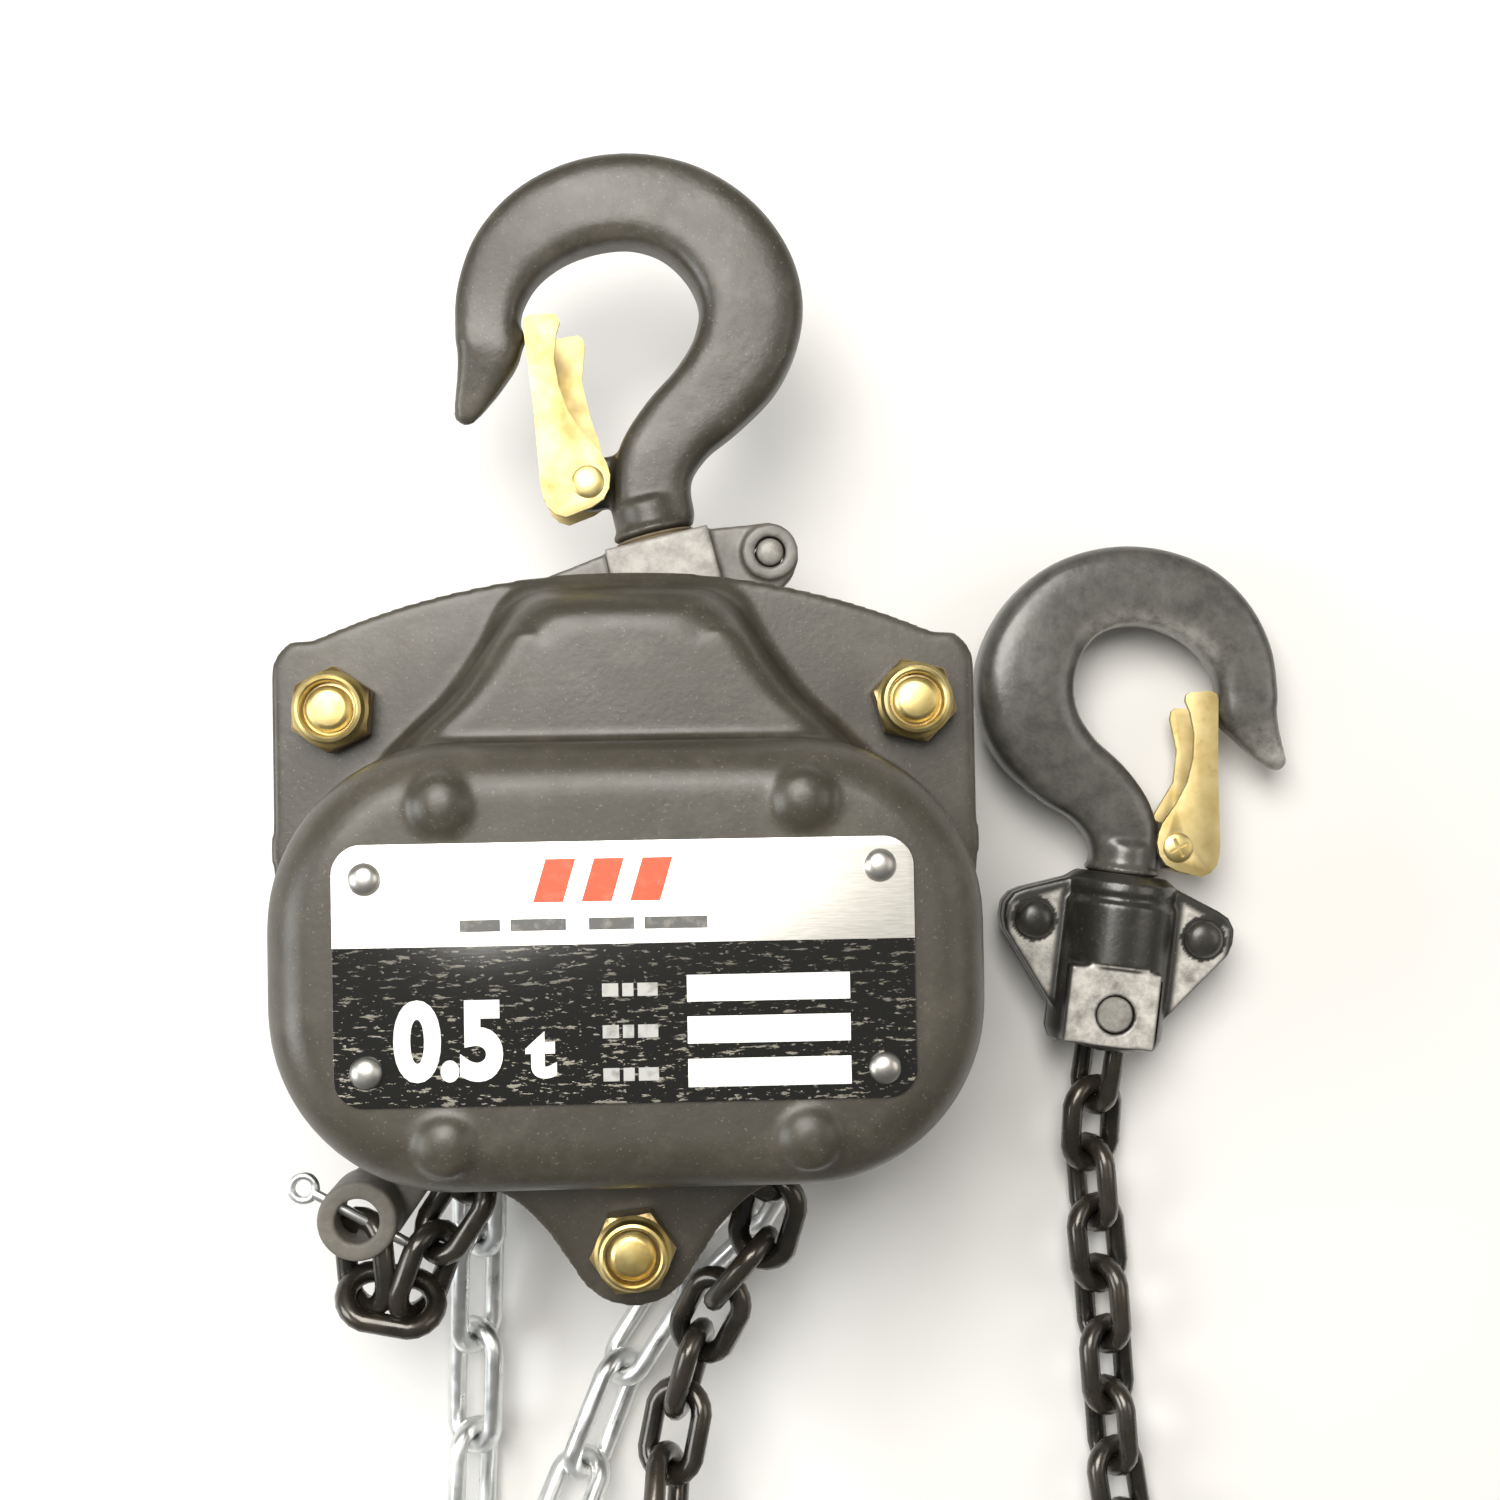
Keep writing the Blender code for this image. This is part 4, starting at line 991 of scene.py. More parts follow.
    def _in_wheels(self, finishes: Finishes) -> None:
        """Lay the chains' held stretches over the hand wheel and the load sheave, and the tail to its anchor."""
        radius, level = self.hand_wheel_radius, self.hand_level
        over = [(radius, -46.0), (radius, -22.0)] + arc((0.0, 0.0), radius, 0.0, 180.0, 18)
        over += [(-radius, -22.0), (-radius, -46.0)]
        run = ChainRun("hand_chain_in_wheel", self.hand_link, smooth_route([(x, y, level) for x, y in over], 3), 0.0,
                       3.0, seen_from=0.0).build()
        dress(run, finishes.silver, Body.FRAME, ("hand_chain_wrap",), sharp=60.0)
        level = self.sheave_level
        over = [(30.8, -51.0), (27.6, -30.0), (25.2, -13.0)] + arc((0.0, 0.0), self.sheave_radius, 0.0, 180.0, 12)
        over += [(-25.2, -16.0), (-28.2, -40.0)]
        slack = [(-34.5, -49.0, 59.0), (-42.0, -58.5, 58.0), (-46.8, -70.0, 57.2), (-51.0, -79.5, 57.0),
                 (-57.0, -80.0, 57.0), (-60.4, -71.0, 57.2), (-60.6, -60.0, 57.4)]
        route = smooth_route([(x, y, level) for x, y in over] + slack, 4)
        tail = ChainRun("load_chain_in_sheave", self.load_link, route, 45.0, 8.0, seed=4).build()
        dress(tail, finishes.chain, Body.FRAME, ("load_chain_wrap",), sharp=60.0)


# ---------------------------------------------------------------- frame plates and covers


@dataclass
class FrameOutline:
    """The outline that the side plates and both covers' flanges share."""

    half_width: float = 75.5
    top: float = 83.2
    arch: float = 166.7
    shoulder: float = 9.0
    ear_radius: float = 14.1

    def points(self, inset: float = 0.0) -> Outline:
        """Arched top, square shoulders and one round ear at the foot.

        Args:
            inset: How far the outline is drawn in.

        Returns:
            The closed outline.
        """
        width, arch = self.half_width - inset, self.arch - inset
        swing = math.degrees(math.asin((width - self.shoulder) / arch))
        half = arc((0.0, self.top - self.arch), arch, 90.0, 90.0 - swing, 24)
        corner_y = half[-1][1] - self.shoulder + 1.0
        half += arc((width - self.shoulder, corner_y), self.shoulder, 60.0, 0.0, 8)
        flank = [(width, 30.0), (width, 20.0), (70.0 - inset, -6.0), (52.0 - inset, -36.0),
                 (27.0 - inset, -50.0 + inset), (19.5 - inset, -56.5), (14.5 - inset, -63.5)]
        half += [(spot.x, spot.y) for spot in smooth_route([(x, y, 0.0) for x, y in flank], 5)]
        half += arc((0.0, -60.0), self.ear_radius - inset, -24.0, -90.0, 12)
        return mirrored(half)


@dataclass
class GearCover:
    """Stamped cover over the gears: flange, lobe over the suspension pin, drum and four pressed domes."""

    outline: FrameOutline = field(default_factory=FrameOutline)
    flange: tuple = (75.2, 77.2)
    centre: tuple = (0.3, 0.8)
    half: tuple = (72.8, 45.5)
    corner: float = 37.5
    face: float = 109.0
    crown: float = 11.0
    lobe_face: float = 93.0
    sheet: float = 2.0
    domes: tuple = ((-36.3, 33.7), (36.3, 33.7), (-36.3, -33.7), (36.3, -33.7))
    voxel: float = 0.85

    def build(self, finishes: Finishes) -> None:
        """Press the cover and paint it.

        Args:
            finishes: The hoist's finishes.
        """
        cover = plate("gear_cover_shell", self.outline.points(), *self.flange)
        combine(cover, "UNION", self._lobe(0.0, 76.0), self._drum(0.0, 76.0))
        combine(cover, "DIFFERENCE", self._lobe(self.sheet, 70.0), self._drum(self.sheet, 70.0))
        for number, place in enumerate(self.domes):
            swell = [(0.0, self.face - 1.0), (6.6, self.face - 1.0), (6.4, self.face + 0.1), (5.6, self.face + 0.9),
                     (4.2, self.face + 1.8), (2.2, self.face + 2.4), (0.0, self.face + 2.6)]
            combine(cover, "UNION", lathe(f"dome_{number}", swell, place))
        soften(cover, self.voxel, 7)
        rub_skin(cover, self._rubbed)
        dress(cover, finishes.cover, Body.FRAME, ("gear_cover",), sharp=70.0)

    def _drum(self, inset: float, foot: float) -> bpy.types.Object:
        """The drum's form, or its hollow when it is drawn in.

        Args:
            inset: How far it is drawn in.
            foot: Height of its foot.

        Returns:
            The closed form.
        """
        rings = [[(x, y, foot) for x, y in rounded_box(self.centre, self.half, self.corner, inset)]]
        start = self.face - self.crown - 0.4 * inset
        for step in range(10):
            turn = math.radians(10.0 * step)
            drawn = inset + (self.crown - 0.3) * (1.0 - math.cos(turn))
            height = start + (self.crown - 0.6 * inset) * math.sin(turn)
            rings.append([(x, y, height) for x, y in rounded_box(self.centre, self.half, self.corner, drawn)])
        return stack("drum_form", rings)

    def _lobe(self, inset: float, foot: float) -> bpy.types.Object:
        """The lobe's form, or its hollow when it is drawn in.

        Args:
            inset: How far it is drawn in.
            foot: Height of its foot.

        Returns:
            The closed form.
        """
        steps = ((foot, -1.6), (77.4, -1.6), (79.4, 0.0), (83.5, 1.0), (88.0, 2.4), (90.6, 4.0), (92.3, 6.2),
                 (self.lobe_face, 9.0))
        rings = []
        for height, drawn in steps:
            slim = drawn + inset
            half = [(0.0, 79.6), (13.0, 79.4), (19.5, 78.6), (24.4, 75.4), (28.4, 69.0), (33.0, 62.0), (38.0, 55.6),
                    (44.5, 49.6), (50.5, 43.0), (53.0, 34.0), (53.0, 10.0)]
            half = [(max(0.0, x - slim) if x else 0.0, y - slim if y > 70.0 else y) for x, y in half]
            curve = smooth_route([(x, y, 0.0) for x, y in half], 4)
            level = height if height <= foot or not inset else height - inset
            rings.append([(x, y, level) for x, y in mirrored([(spot.x, spot.y) for spot in curve])])
        return stack("lobe_form", rings)

    def _rubbed(self, place: Vector, normal: Vector) -> float:
        """Handling marks on the crown's upper edge and the flange's corners."""
        edge = math.exp(-((place.z - self.face + 3.0) / 2.5) ** 2) * 0.25
        corner = 0.35 * math.exp(-(((abs(place.x) - 58.0) / 20.0) ** 2 + ((place.y - 66.0) / 9.0) ** 2))
        return (edge + corner) * max(0.0, normal.z)


@dataclass
class NamePlate:
    """Printed plate held by four rivets, with blank fields and plain bars in place of words."""

    size: tuple = (115.5, 52.0, 0.7)
    level: float = 109.3
    rivets: tuple = ((-51.2, 19.4), (51.0, 20.4), (-51.3, -18.8), (51.3, -20.0))
    fields: tuple = ((-6.0, -0.7), (-14.3, -8.9), (-22.9, -17.3))
    ink: float = 0.05

    def build(self, finishes: Finishes) -> None:
        """Cut, print and rivet the plate.

        Args:
            finishes: The hoist's finishes.
        """
        width, height, thickness = self.size
        sheet = plate("name_plate_sheet", rounded_box((0.0, 0.2), (width / 2, height / 2), 6.0), self.level,
                      self.level + thickness)
        round_edges(sheet, 0.18, 2)
        dress(sheet, finishes.plate, Body.FRAME, ("name_plate",))
        self._print(finishes)
        self._rivets(finishes)

    def _bar(self, name: str, low: tuple, high: tuple, lean: float = 0.0) -> bpy.types.Object:
        """One printed bar between two corners, leaning when asked."""
        top = self.level + self.size[2]
        corners = [low, (high[0], low[1]), (high[0] + lean, high[1]), (low[0] + lean, high[1])]
        return plate(name, corners, top - 0.1, top + self.ink)

    def _print(self, finishes: Finishes) -> None:
        """Lay the blank fields, the bars and the capacity."""
        whites = [self._bar("field", (12.2, low), (44.6, high)) for low, high in self.fields]
        whites += [self._figure("0.5", 20.6, (-45.6, -19.8), 0.86, 0.045), self._figure("t", 13.0, (-19.2, -19.8), 1.1,
                                                                                    0.05)]
        dress(joined("print_white", whites), finishes.white_ink, Body.FRAME)
        labels = []
        for low, high in self.fields:
            middle = (low + high) / 2
            labels += [self._bar("label", (start, middle - 1.3), (start + long, middle + 1.3))
                       for start, long in ((-4.6, 3.2), (-0.6, 2.2), (2.4, 4.0))]
        dress(joined("print_labels", labels), finishes.pale_ink, Body.FRAME)
        slants = [self._bar("slant", (start, 14.2), (start + 6.0, 22.8), 2.6) for start in (-18.0, -8.4, 1.2)]
        dress(joined("print_red", slants), finishes.red_ink, Body.FRAME)
        greys = [self._bar("line", (start, 8.6), (start + long, 11.0))
                 for start, long in ((-32.5, 8.0), (-22.5, 11.0), (-7.0, 9.0), (4.0, 12.5))]
        dress(joined("print_grey", greys), finishes.grey_ink, Body.FRAME)

    def _figure(self, words: str, size: float, corner: tuple, squeeze: float, weight: float) -> bpy.types.Object:
        """Print the capacity in heavy upright figures.

        Args:
            words: What is printed.
            size: Height of the type.
            corner: Lower left corner.
            squeeze: Width over height.
            weight: How much the strokes are thickened.

        Returns:
            The figures as a mesh.
        """
        bpy.ops.object.select_all(action="DESELECT")
        bpy.ops.object.text_add(location=(0.0, 0.0, 0.0))
        text = bpy.context.active_object
        text.data.body = words
        text.data.offset = weight
        text.data.extrude = 0.004
        text.data.resolution_u = 6
        focus(text)
        bpy.ops.object.convert(target="MESH")
        text = bpy.context.active_object
        top = self.level + self.size[2] + self.ink
        spread = Matrix.Diagonal((size * squeeze, size, size, 1.0))
        text.data.transform(Matrix.Translation((corner[0], corner[1], top - 0.05)) @ spread)
        return tidy_shell(text)

    def _rivets(self, finishes: Finishes) -> None:
        """Set the four rivets."""
        seat = self.level + self.size[2]
        profile = [(0.0, seat - 3.0), (1.5, seat - 3.0), (1.5, seat), (3.3, seat + 0.02), (3.25, seat + 0.5),
                   (2.8, seat + 1.1), (2.0, seat + 1.55), (1.0, seat + 1.8), (0.0, seat + 1.85)]
        for number, place in enumerate(self.rivets, 1):
            rivet = lathe(f"name_plate_rivet_{number}", profile, place, 32)
            dress(rivet, finishes.rivet, Body.FRAME, (f"plate_rivet_{number}",), sharp=50.0)


@dataclass
class WheelCover:
    """Pressed cover over the hand wheel, open at its foot where the hand chain leaves."""

    outline: FrameOutline = field(default_factory=FrameOutline)
    radius: float = 50.0
    foot: float = -46.0
    depth: float = 43.0
    sheet: float = 2.0
    flange: tuple = (42.0, 44.0)

    def build(self, finishes: Finishes) -> None:
        """Press the cover and paint it.

        Args:
            finishes: The hoist's finishes.
        """
        rings = [[(x, y, 3.2 * (1.0 - math.sin(turn))) for x, y in self._wall(3.2 * (1.0 - math.cos(turn)))]
                 for turn in [math.radians(step) for step in (90.0, 70.0, 50.0, 30.0, 15.0, 0.0)]]
        rings.append([(x, y, self.depth) for x, y in self._wall(0.0)])
        cover = stack("hand_wheel_cover", rings)
        combine(cover, "UNION", plate("flange", self.outline.points(0.8), *self.flange))
        mouth = brick("mouth", (-47.9, -70.0, 9.0), (47.9, self.foot + 7.9, 34.0))
        combine(cover, "DIFFERENCE", plate("hollow", self._wall(self.sheet), self.sheet, 60.0), mouth)
        soften(cover, 1.0, 4)
        dress(cover, finishes.cover, Body.FRAME, ("wheel_cover",), sharp=70.0)

    def _wall(self, inset: float) -> Outline:
        """A round top on straight sides that run down to the chain mouth."""
        radius, foot = self.radius - inset, self.foot + inset
        half = arc((0.0, 0.0), radius, 90.0, 0.0, 40)
        half += arc((radius - 6.0, foot + 6.0), 6.0, 0.0, -90.0, 8)
        return mirrored(half)


@dataclass
class FramePlates:
    """The two flat plates that carry the sheave."""

    outline: FrameOutline = field(default_factory=FrameOutline)
    seat: float = 19.3
    bolts: tuple = ((-61.6, 54.2), (61.6, 54.2), (0.0, -61.2))
    rollers: tuple = ((-40.0, -20.0), (40.0, -20.0))
    stubs: tuple = ((-36.0, 0.0), (36.0, 0.0))
    pin: tuple = (13.0, 66.0)
    pawl_pin: tuple = (19.2, 36.2)

    def build(self, finishes: Finishes) -> None:
        """Cut and drill both plates.

        Args:
            finishes: The hoist's finishes.
        """
        for name, low, high in (("gear_side_plate", 70.9, 74.9), ("wheel_side_plate", 44.3, 48.3)):
            side = plate(f"{name}_sheet", self.outline.points(0.8), low, high)
            holes = [(place, 5.2) for place in self.bolts] + [(place, 3.3) for place in self.rollers]
            holes += [((0.0, 0.0), self.seat), (self.pin, 6.3)]
            if name == "gear_side_plate":
                holes += [(place, 3.3) for place in self.stubs]
            for number, (place, radius) in enumerate(holes):
                drill = lathe(f"drill_{number}", [(0.0, low - 5.0), (radius, low - 5.0), (radius, high + 5.0),
                                                  (0.0, high + 5.0)], place, 40)
                combine(side, "DIFFERENCE", drill)
            if name == "wheel_side_plate":
                stud = [(0.0, 31.0), (2.2, 31.0), (2.5, 31.4), (2.5, 46.0), (0.0, 46.0)]
                combine(side, "UNION", lathe("stud", stud, self.pawl_pin, 24))
            round_edges(side, 0.35, 2, 50.0)
            dress(side, finishes.side, Body.FRAME, (name,))


@dataclass
class StayBolts:
    """Three headed stay bolts, closed at the front by collared lock nuts."""

    places: tuple = ((-61.6, 54.2), (61.6, 54.2), (0.0, -61.2))
    across: float = 16.0
    radius: float = 4.9
    seat: float = 77.5
    head: tuple = (33.7, 41.7)

    def build(self, finishes: Finishes) -> None:
        """Turn the bolts and nuts.

        Args:
            finishes: The hoist's finishes.
        """
        for number, place in enumerate(self.places, 1):
            nut = self._hexagon(f"lock_nut_{number}_hexagon", self.seat, self.seat + 7.4, 20.0 * number + 6.0, place)
            dress(nut, finishes.bronze, Body.FRAME, (f"lock_nut_{number}",))
            seat = self.seat + 6.6
            collar = [(5.5, seat), (8.0, seat), (8.1, seat + 0.5), (7.4, seat + 1.1), (7.3, seat + 2.9),
                      (6.9, seat + 3.6), (6.3, seat + 3.85), (5.9, seat + 3.6), (5.6, seat + 2.6)]
            ring = lathe(f"lock_nut_{number}_collar", collar, place, 56)
            dress(ring, finishes.gold, Body.FRAME)
            dress(self._bolt(number, place), finishes.gold, Body.FRAME, (f"stay_bolt_{number}",))

    def _hexagon(self, name: str, low: float, high: float, turn: float, place: tuple) -> bpy.types.Object:
        """A hexagon with both faces chamfered.

        Args:
            name: The piece's name.
            low: Height of its under side.
            high: Height of its upper side.
            turn: Its turn in degrees.
            place: Where it stands.

        Returns:
            The hexagon.
        """
        round_radius = self.across / math.sqrt(3.0)
        nut = plate(name, arc(place, round_radius, turn, turn + 300.0, 5), low, high)
        drawn = round_radius - self.across / 2 + 0.5
        chamfer = [(0.0, low), (round_radius - drawn, low), (round_radius + 0.1, low + 0.62 * drawn),
                   (round_radius + 0.1, high - 0.62 * drawn), (round_radius - drawn, high), (0.0, high)]
        combine(nut, "INTERSECT", lathe("chamfer", chamfer, place, 60))
        return round_edges(nut, 0.2, 2, 25.0)

    def _bolt(self, number: int, place: tuple) -> bpy.types.Object:
        """A headed bolt with its spacing shoulder and a threaded end."""
        low, high = self.head
        profile = [(0.0, high - 1.0), (self.radius, high - 1.0), (self.radius, 48.6), (7.0, 48.6), (7.0, 70.6),
                   (self.radius, 70.6), (self.radius, 79.0)]
        height = 79.0
        while height < 86.6:
            profile += [(self.radius - 0.55, height + 0.3), (self.radius, height + 0.65)]
            height += 0.7
        profile += [(self.radius - 0.9, height + 0.7), (self.radius - 1.5, height + 0.85), (0.0, height + 0.9)]
        bolt = lathe(f"stay_bolt_{number}_rod", profile, place, 48)
        return combine(bolt, "UNION", self._hexagon("head", low, high, 10.0, place))


# ---------------------------------------------------------------- suspension and hooks


def swivel(pin: tuple[float, float, float], lean: float) -> Matrix:
    """Axes of a fitting that hangs from a pin, Y along its shank.

    Args:
        pin: The pin's middle.
        lean: Its lean in degrees.

    Returns:
        The matrix from the fitting's axes to the frame's.
    """
    return Matrix.Translation(pin) @ Matrix.Rotation(math.radians(lean), 4, "Z")


TOP_AXES = swivel((13.0, 66.0, 59.6), 13.0)
LOAD_AXES = swivel((114.7, -19.7, 14.8), -8.0)


def forged_bar(name: str, stations: Sequence[tuple[float, float, float]], depth: float) -> bpy.types.Object:
    """Sweep a flat-faced, round-edged section along a flat centre line.

    Args:
        name: The piece's name.
        stations: Points of (u, v, half width).
        depth: Thickness over width.

    Returns:
        The closed bar.
    """
    section = bpy.data.curves.new(f"{name}_section", "CURVE")
    section.dimensions = "2D"
    ring = section.splines.new("POLY")
    sides, power = 44, 4.0
    ring.points.add(sides - 1)
    for step, knot in enumerate(ring.points):
        turn = math.tau * step / sides
        reach = [math.copysign(abs(value) ** (2.0 / power), value) for value in (math.cos(turn), math.sin(turn))]
        knot.co = (reach[0], depth * reach[1], 0.0, 1.0)
    ring.use_cyclic_u = True
    cutter = bpy.data.objects.new(section.name, section)
    bpy.context.scene.collection.objects.link(cutter)
    line = bpy.data.curves.new(name, "CURVE")
    line.dimensions = "3D"
    line.twist_mode = "Z_UP"
    line.bevel_mode = "OBJECT"
    line.bevel_object = cutter
    line.use_fill_caps = True
    spline = line.splines.new("POLY")
    spots = smooth_route(stations, 5)
    spline.points.add(len(spots) - 1)
    for knot, spot in zip(spline.points, spots):
        knot.co = (spot.x, spot.y, 0.0, 1.0)
        knot.radius = max(0.3, spot.z)
    bar = bpy.data.objects.new(name, line)
    bpy.context.scene.collection.objects.link(bar)
    focus(bar)
    bpy.ops.object.convert(target="MESH")
    bar = bpy.context.active_object
    bpy.data.objects.remove(cutter, do_unlink=True)
    return tidy_shell(bar)


@dataclass
class Hook:
    """A forged swivel hook with its sprung latch; side is where its mouth opens."""

    label: str
    line: tuple
    head: tuple
    side: float
    axes: Matrix
    body: Body
    latch_body: Body
    far_top: float
    far_lean: float
    spur: tuple
    tab: tuple
    crossed: bool = False
    depth: float = 0.78
    pivot: tuple = (11.5, 41.6)
    voxel: float = 0.75

    def build(self, finishes: Finishes, paint: bpy.types.Material) -> None:
        """Forge the hook and fit its latch.

        Args:
            finishes: The hoist's finishes.
            paint: The hook's own paint.
        """
        self._forging(paint)
        self._collar(finishes)
        self._latch(finishes)
        self._pin(finishes)

    def _forging(self, paint: bpy.types.Material) -> None:
        """The bar, its round tip, shank, head and latch boss in one piece."""
        hook = forged_bar(f"{self.label}_hook_forging", self.line, self.depth)
        low, high = self.head
        neck = self.line[0][1]
        shank = [(0.0, low), (7.6, low), (8.7, low + 1.0), (8.7, high), (6.6, high), (6.6, neck - 2.5),
                 (9.1, neck - 2.2), (9.4, neck - 1.6), (9.1, neck - 1.0), (8.2, neck - 0.5), (8.2, neck + 5.0),
                 (0.0, neck + 6.0)]
        side = self.side
        boss = [(0.0, 47.0), (side * 10.5, 47.4), (side * 14.6, 45.8), (side * 17.0, 42.4), (side * 16.4, 39.2),
                (side * 14.6, 37.0), (side * 11.5, 36.1), (0.0, 36.6)]
        tip = self.line[-1]
        bead = [(0.0, -self.depth * tip[2]), (0.7 * tip[2], -0.7 * self.depth * tip[2]), (tip[2], 0.0),
                (0.7 * tip[2], 0.7 * self.depth * tip[2]), (0.0, self.depth * tip[2])]
        combine(hook, "UNION", lathe("shank", shank, along_y=True), plate("boss", boss, -4.9, 1.4),
                lathe("tip", bead, tip[:2], 24), plate("spur", list(self.spur), -3.8, 3.8))
        soften(hook, self.voxel, 9)
        pivot = (side * self.pivot[0], self.pivot[1])
        drill = lathe("drill", [(0.0, -20.0), (2.5, -20.0), (2.5, 20.0), (0.0, 20.0)], pivot, 32)
        combine(hook, "DIFFERENCE", drill)
        rub_skin(hook, self._rubbed)
        dress(hook, paint, self.body, (f"{self.label}_hook",), self.axes, 70.0)

    def _rubbed(self, place: Vector, normal: Vector) -> float:
        """Bare patches in the bowl, on the flanks and round the tip."""
        crown = math.exp(-((place.y - 92.0) / 9.0) ** 2) * max(0.0, -normal.y) * 0.8
        tip = math.exp(-(((place.x - self.line[-1][0]) / 9.0) ** 2 + ((place.y - self.line[-1][1]) / 8.0) ** 2))
        return min(1.0, crown + 0.5 * tip + 0.12 * max(0.0, normal.z))

    def _collar(self, finishes: Finishes) -> None:
        """Dusty washers round the neck, where the shank leaves its seat."""
        neck = self.line[0][1]
        low = neck - 4.2 if self.side < 0 else neck - 2.5
        reach = 8.9 if self.side < 0 else 8.1
        rim = [(6.75, low), (reach - 0.3, low), (reach, low + 0.35), (reach - 0.3, low + 0.7), (6.75, low + 0.7)]
        washers = [lathe(f"washer_{step}", [(radius, height + 0.75 * step) for radius, height in rim], along_y=True)
                   for step in range(2)]
        dress(joined(f"{self.label}_hook_washers", washers), finishes.dusty, self.body, (), self.axes)

    def _latch(self, finishes: Finishes) -> None:
        """A folded latch: web outside, a tall near cheek and a shorter far one."""
        foot = [(-4.4, 5.4), (-5.0, 3.0), (-5.1, 0.4), (-4.2, -2.4), (-2.4, -4.5), (0.6, -5.6), (6.5, -6.4),
                (8.6, -5.2), (10.0, -3.0), (10.3, -0.5), (10.2, 2.0), (7.5, 20.0)]
        cheek = foot + [(5.6, 37.0), (5.0, 38.3), (3.6, 38.7), (-1.4, 37.8), (-2.3, 37.0), (-2.4, 35.6),
                        (-0.9, 33.0), (0.8, 28.0), (1.2, 22.0), (0.5, 16.0), (-1.6, 10.5)]
        top, lean = self.far_top, self.far_lean
        far = foot + [(5.9, top - 1.0), (5.0, top), (-1.4 - lean, top - 0.6), (-2.3 - lean, top - 1.6),
                      (-2.4 - lean, top - 3.4), (0.2 - lean, top - 11.0), (0.3 - lean, 16.0), (-2.4 - 0.5 * lean, 10.0)]
        web = [(10.3, -1.5), (10.2, 2.0), (7.5, 20.0), (5.6, 37.0), (4.1, 36.6), (6.0, 20.0), (8.7, 1.8), (8.8, -1.5)]
        latch = plate(f"{self.label}_latch_pressing", sided(cheek, self.side), 6.1, 7.6)
        combine(latch, "UNION", plate("far_cheek", sided(far, self.side), -7.6, -6.1),
                plate("web", sided(web, self.side), -7.0, 7.0))
        drill = lathe("drill", [(0.0, -20.0), (2.5, -20.0), (2.5, 20.0), (0.0, 20.0)], steps=32)
        combine(latch, "DIFFERENCE", drill)
        round_edges(latch, 0.35, 3, 40.0)
        place = self.axes @ Matrix.Translation((self.side * self.pivot[0], self.pivot[1], 0.0))
        dress(latch, finishes.latch, self.latch_body, (f"{self.label}_latch",), place, 40.0)
        coil = self._coil()
        dress(coil, finishes.latch, self.latch_body, (f"{self.label}_latch_spring",), place, 60.0)
        tab = plate(f"{self.label}_latch_stop", [(self.side * x * -1.0, y) for x, y in self.tab], 1.8, 4.6)
        round_edges(tab, 0.3, 2)
        dress(tab, finishes.latch, self.body, (), self.axes)

    def _coil(self) -> bpy.types.Object:
        """The torsion spring round the latch's pin, with a leg along the latch."""
        turns, per_turn, mean, gauge = 2.5, 20, 3.4, 0.45
        count = int(turns * per_turn)
        knots = []
        for step in range(count + 1):
            turn = math.pi - step * math.tau / per_turn
            knots.append(Vector((self.side * mean * math.cos(turn), mean * math.sin(turn), 2.2 + 2.9 * step / count)))
        knots += [Vector((self.side * 3.6, 6.0, 5.1)), Vector((self.side * 3.8, 12.0, 5.1))]
        line = bpy.data.curves.new("spring_line", "CURVE")
        line.dimensions = "3D"
        line.bevel_depth = gauge
        line.bevel_resolution = 3
        line.use_fill_caps = True
        spline = line.splines.new("POLY")
        spline.points.add(len(knots) - 1)
        for knot, spot in zip(spline.points, knots):
            knot.co = (*spot, 1.0)
        spring = bpy.data.objects.new(f"{self.label}_latch_coil", line)
        bpy.context.scene.collection.objects.link(spring)
        focus(spring)
        bpy.ops.object.convert(target="MESH")
        return tidy_shell(bpy.context.active_object)

    def _pin(self, finishes: Finishes) -> None:
        """The latch's rivet, with a worn cross recess on the load hook."""
        profile = [(0.0, -8.6), (2.2, -8.6), (2.2, 7.7), (3.6, 7.7), (3.5, 8.2), (2.8, 8.55), (0.0, 8.6)]
        pin = lathe(f"{self.label}_latch_rivet", profile, steps=40)
        if self.crossed:
            combine(pin, "DIFFERENCE", brick("slot_across", (-2.4, -0.35, 8.2), (2.4, 0.35, 9.5)),
                    brick("slot_along", (-0.35, -2.4, 8.2), (0.35, 2.4, 9.5)))
        place = self.axes @ Matrix.Translation((self.side * self.pivot[0], self.pivot[1], 0.0))
        turn = place @ Matrix.Rotation(math.radians(35.0), 4, "Z")
        dress(pin, finishes.gold, self.body, (f"{self.label}_latch_pin",), turn)


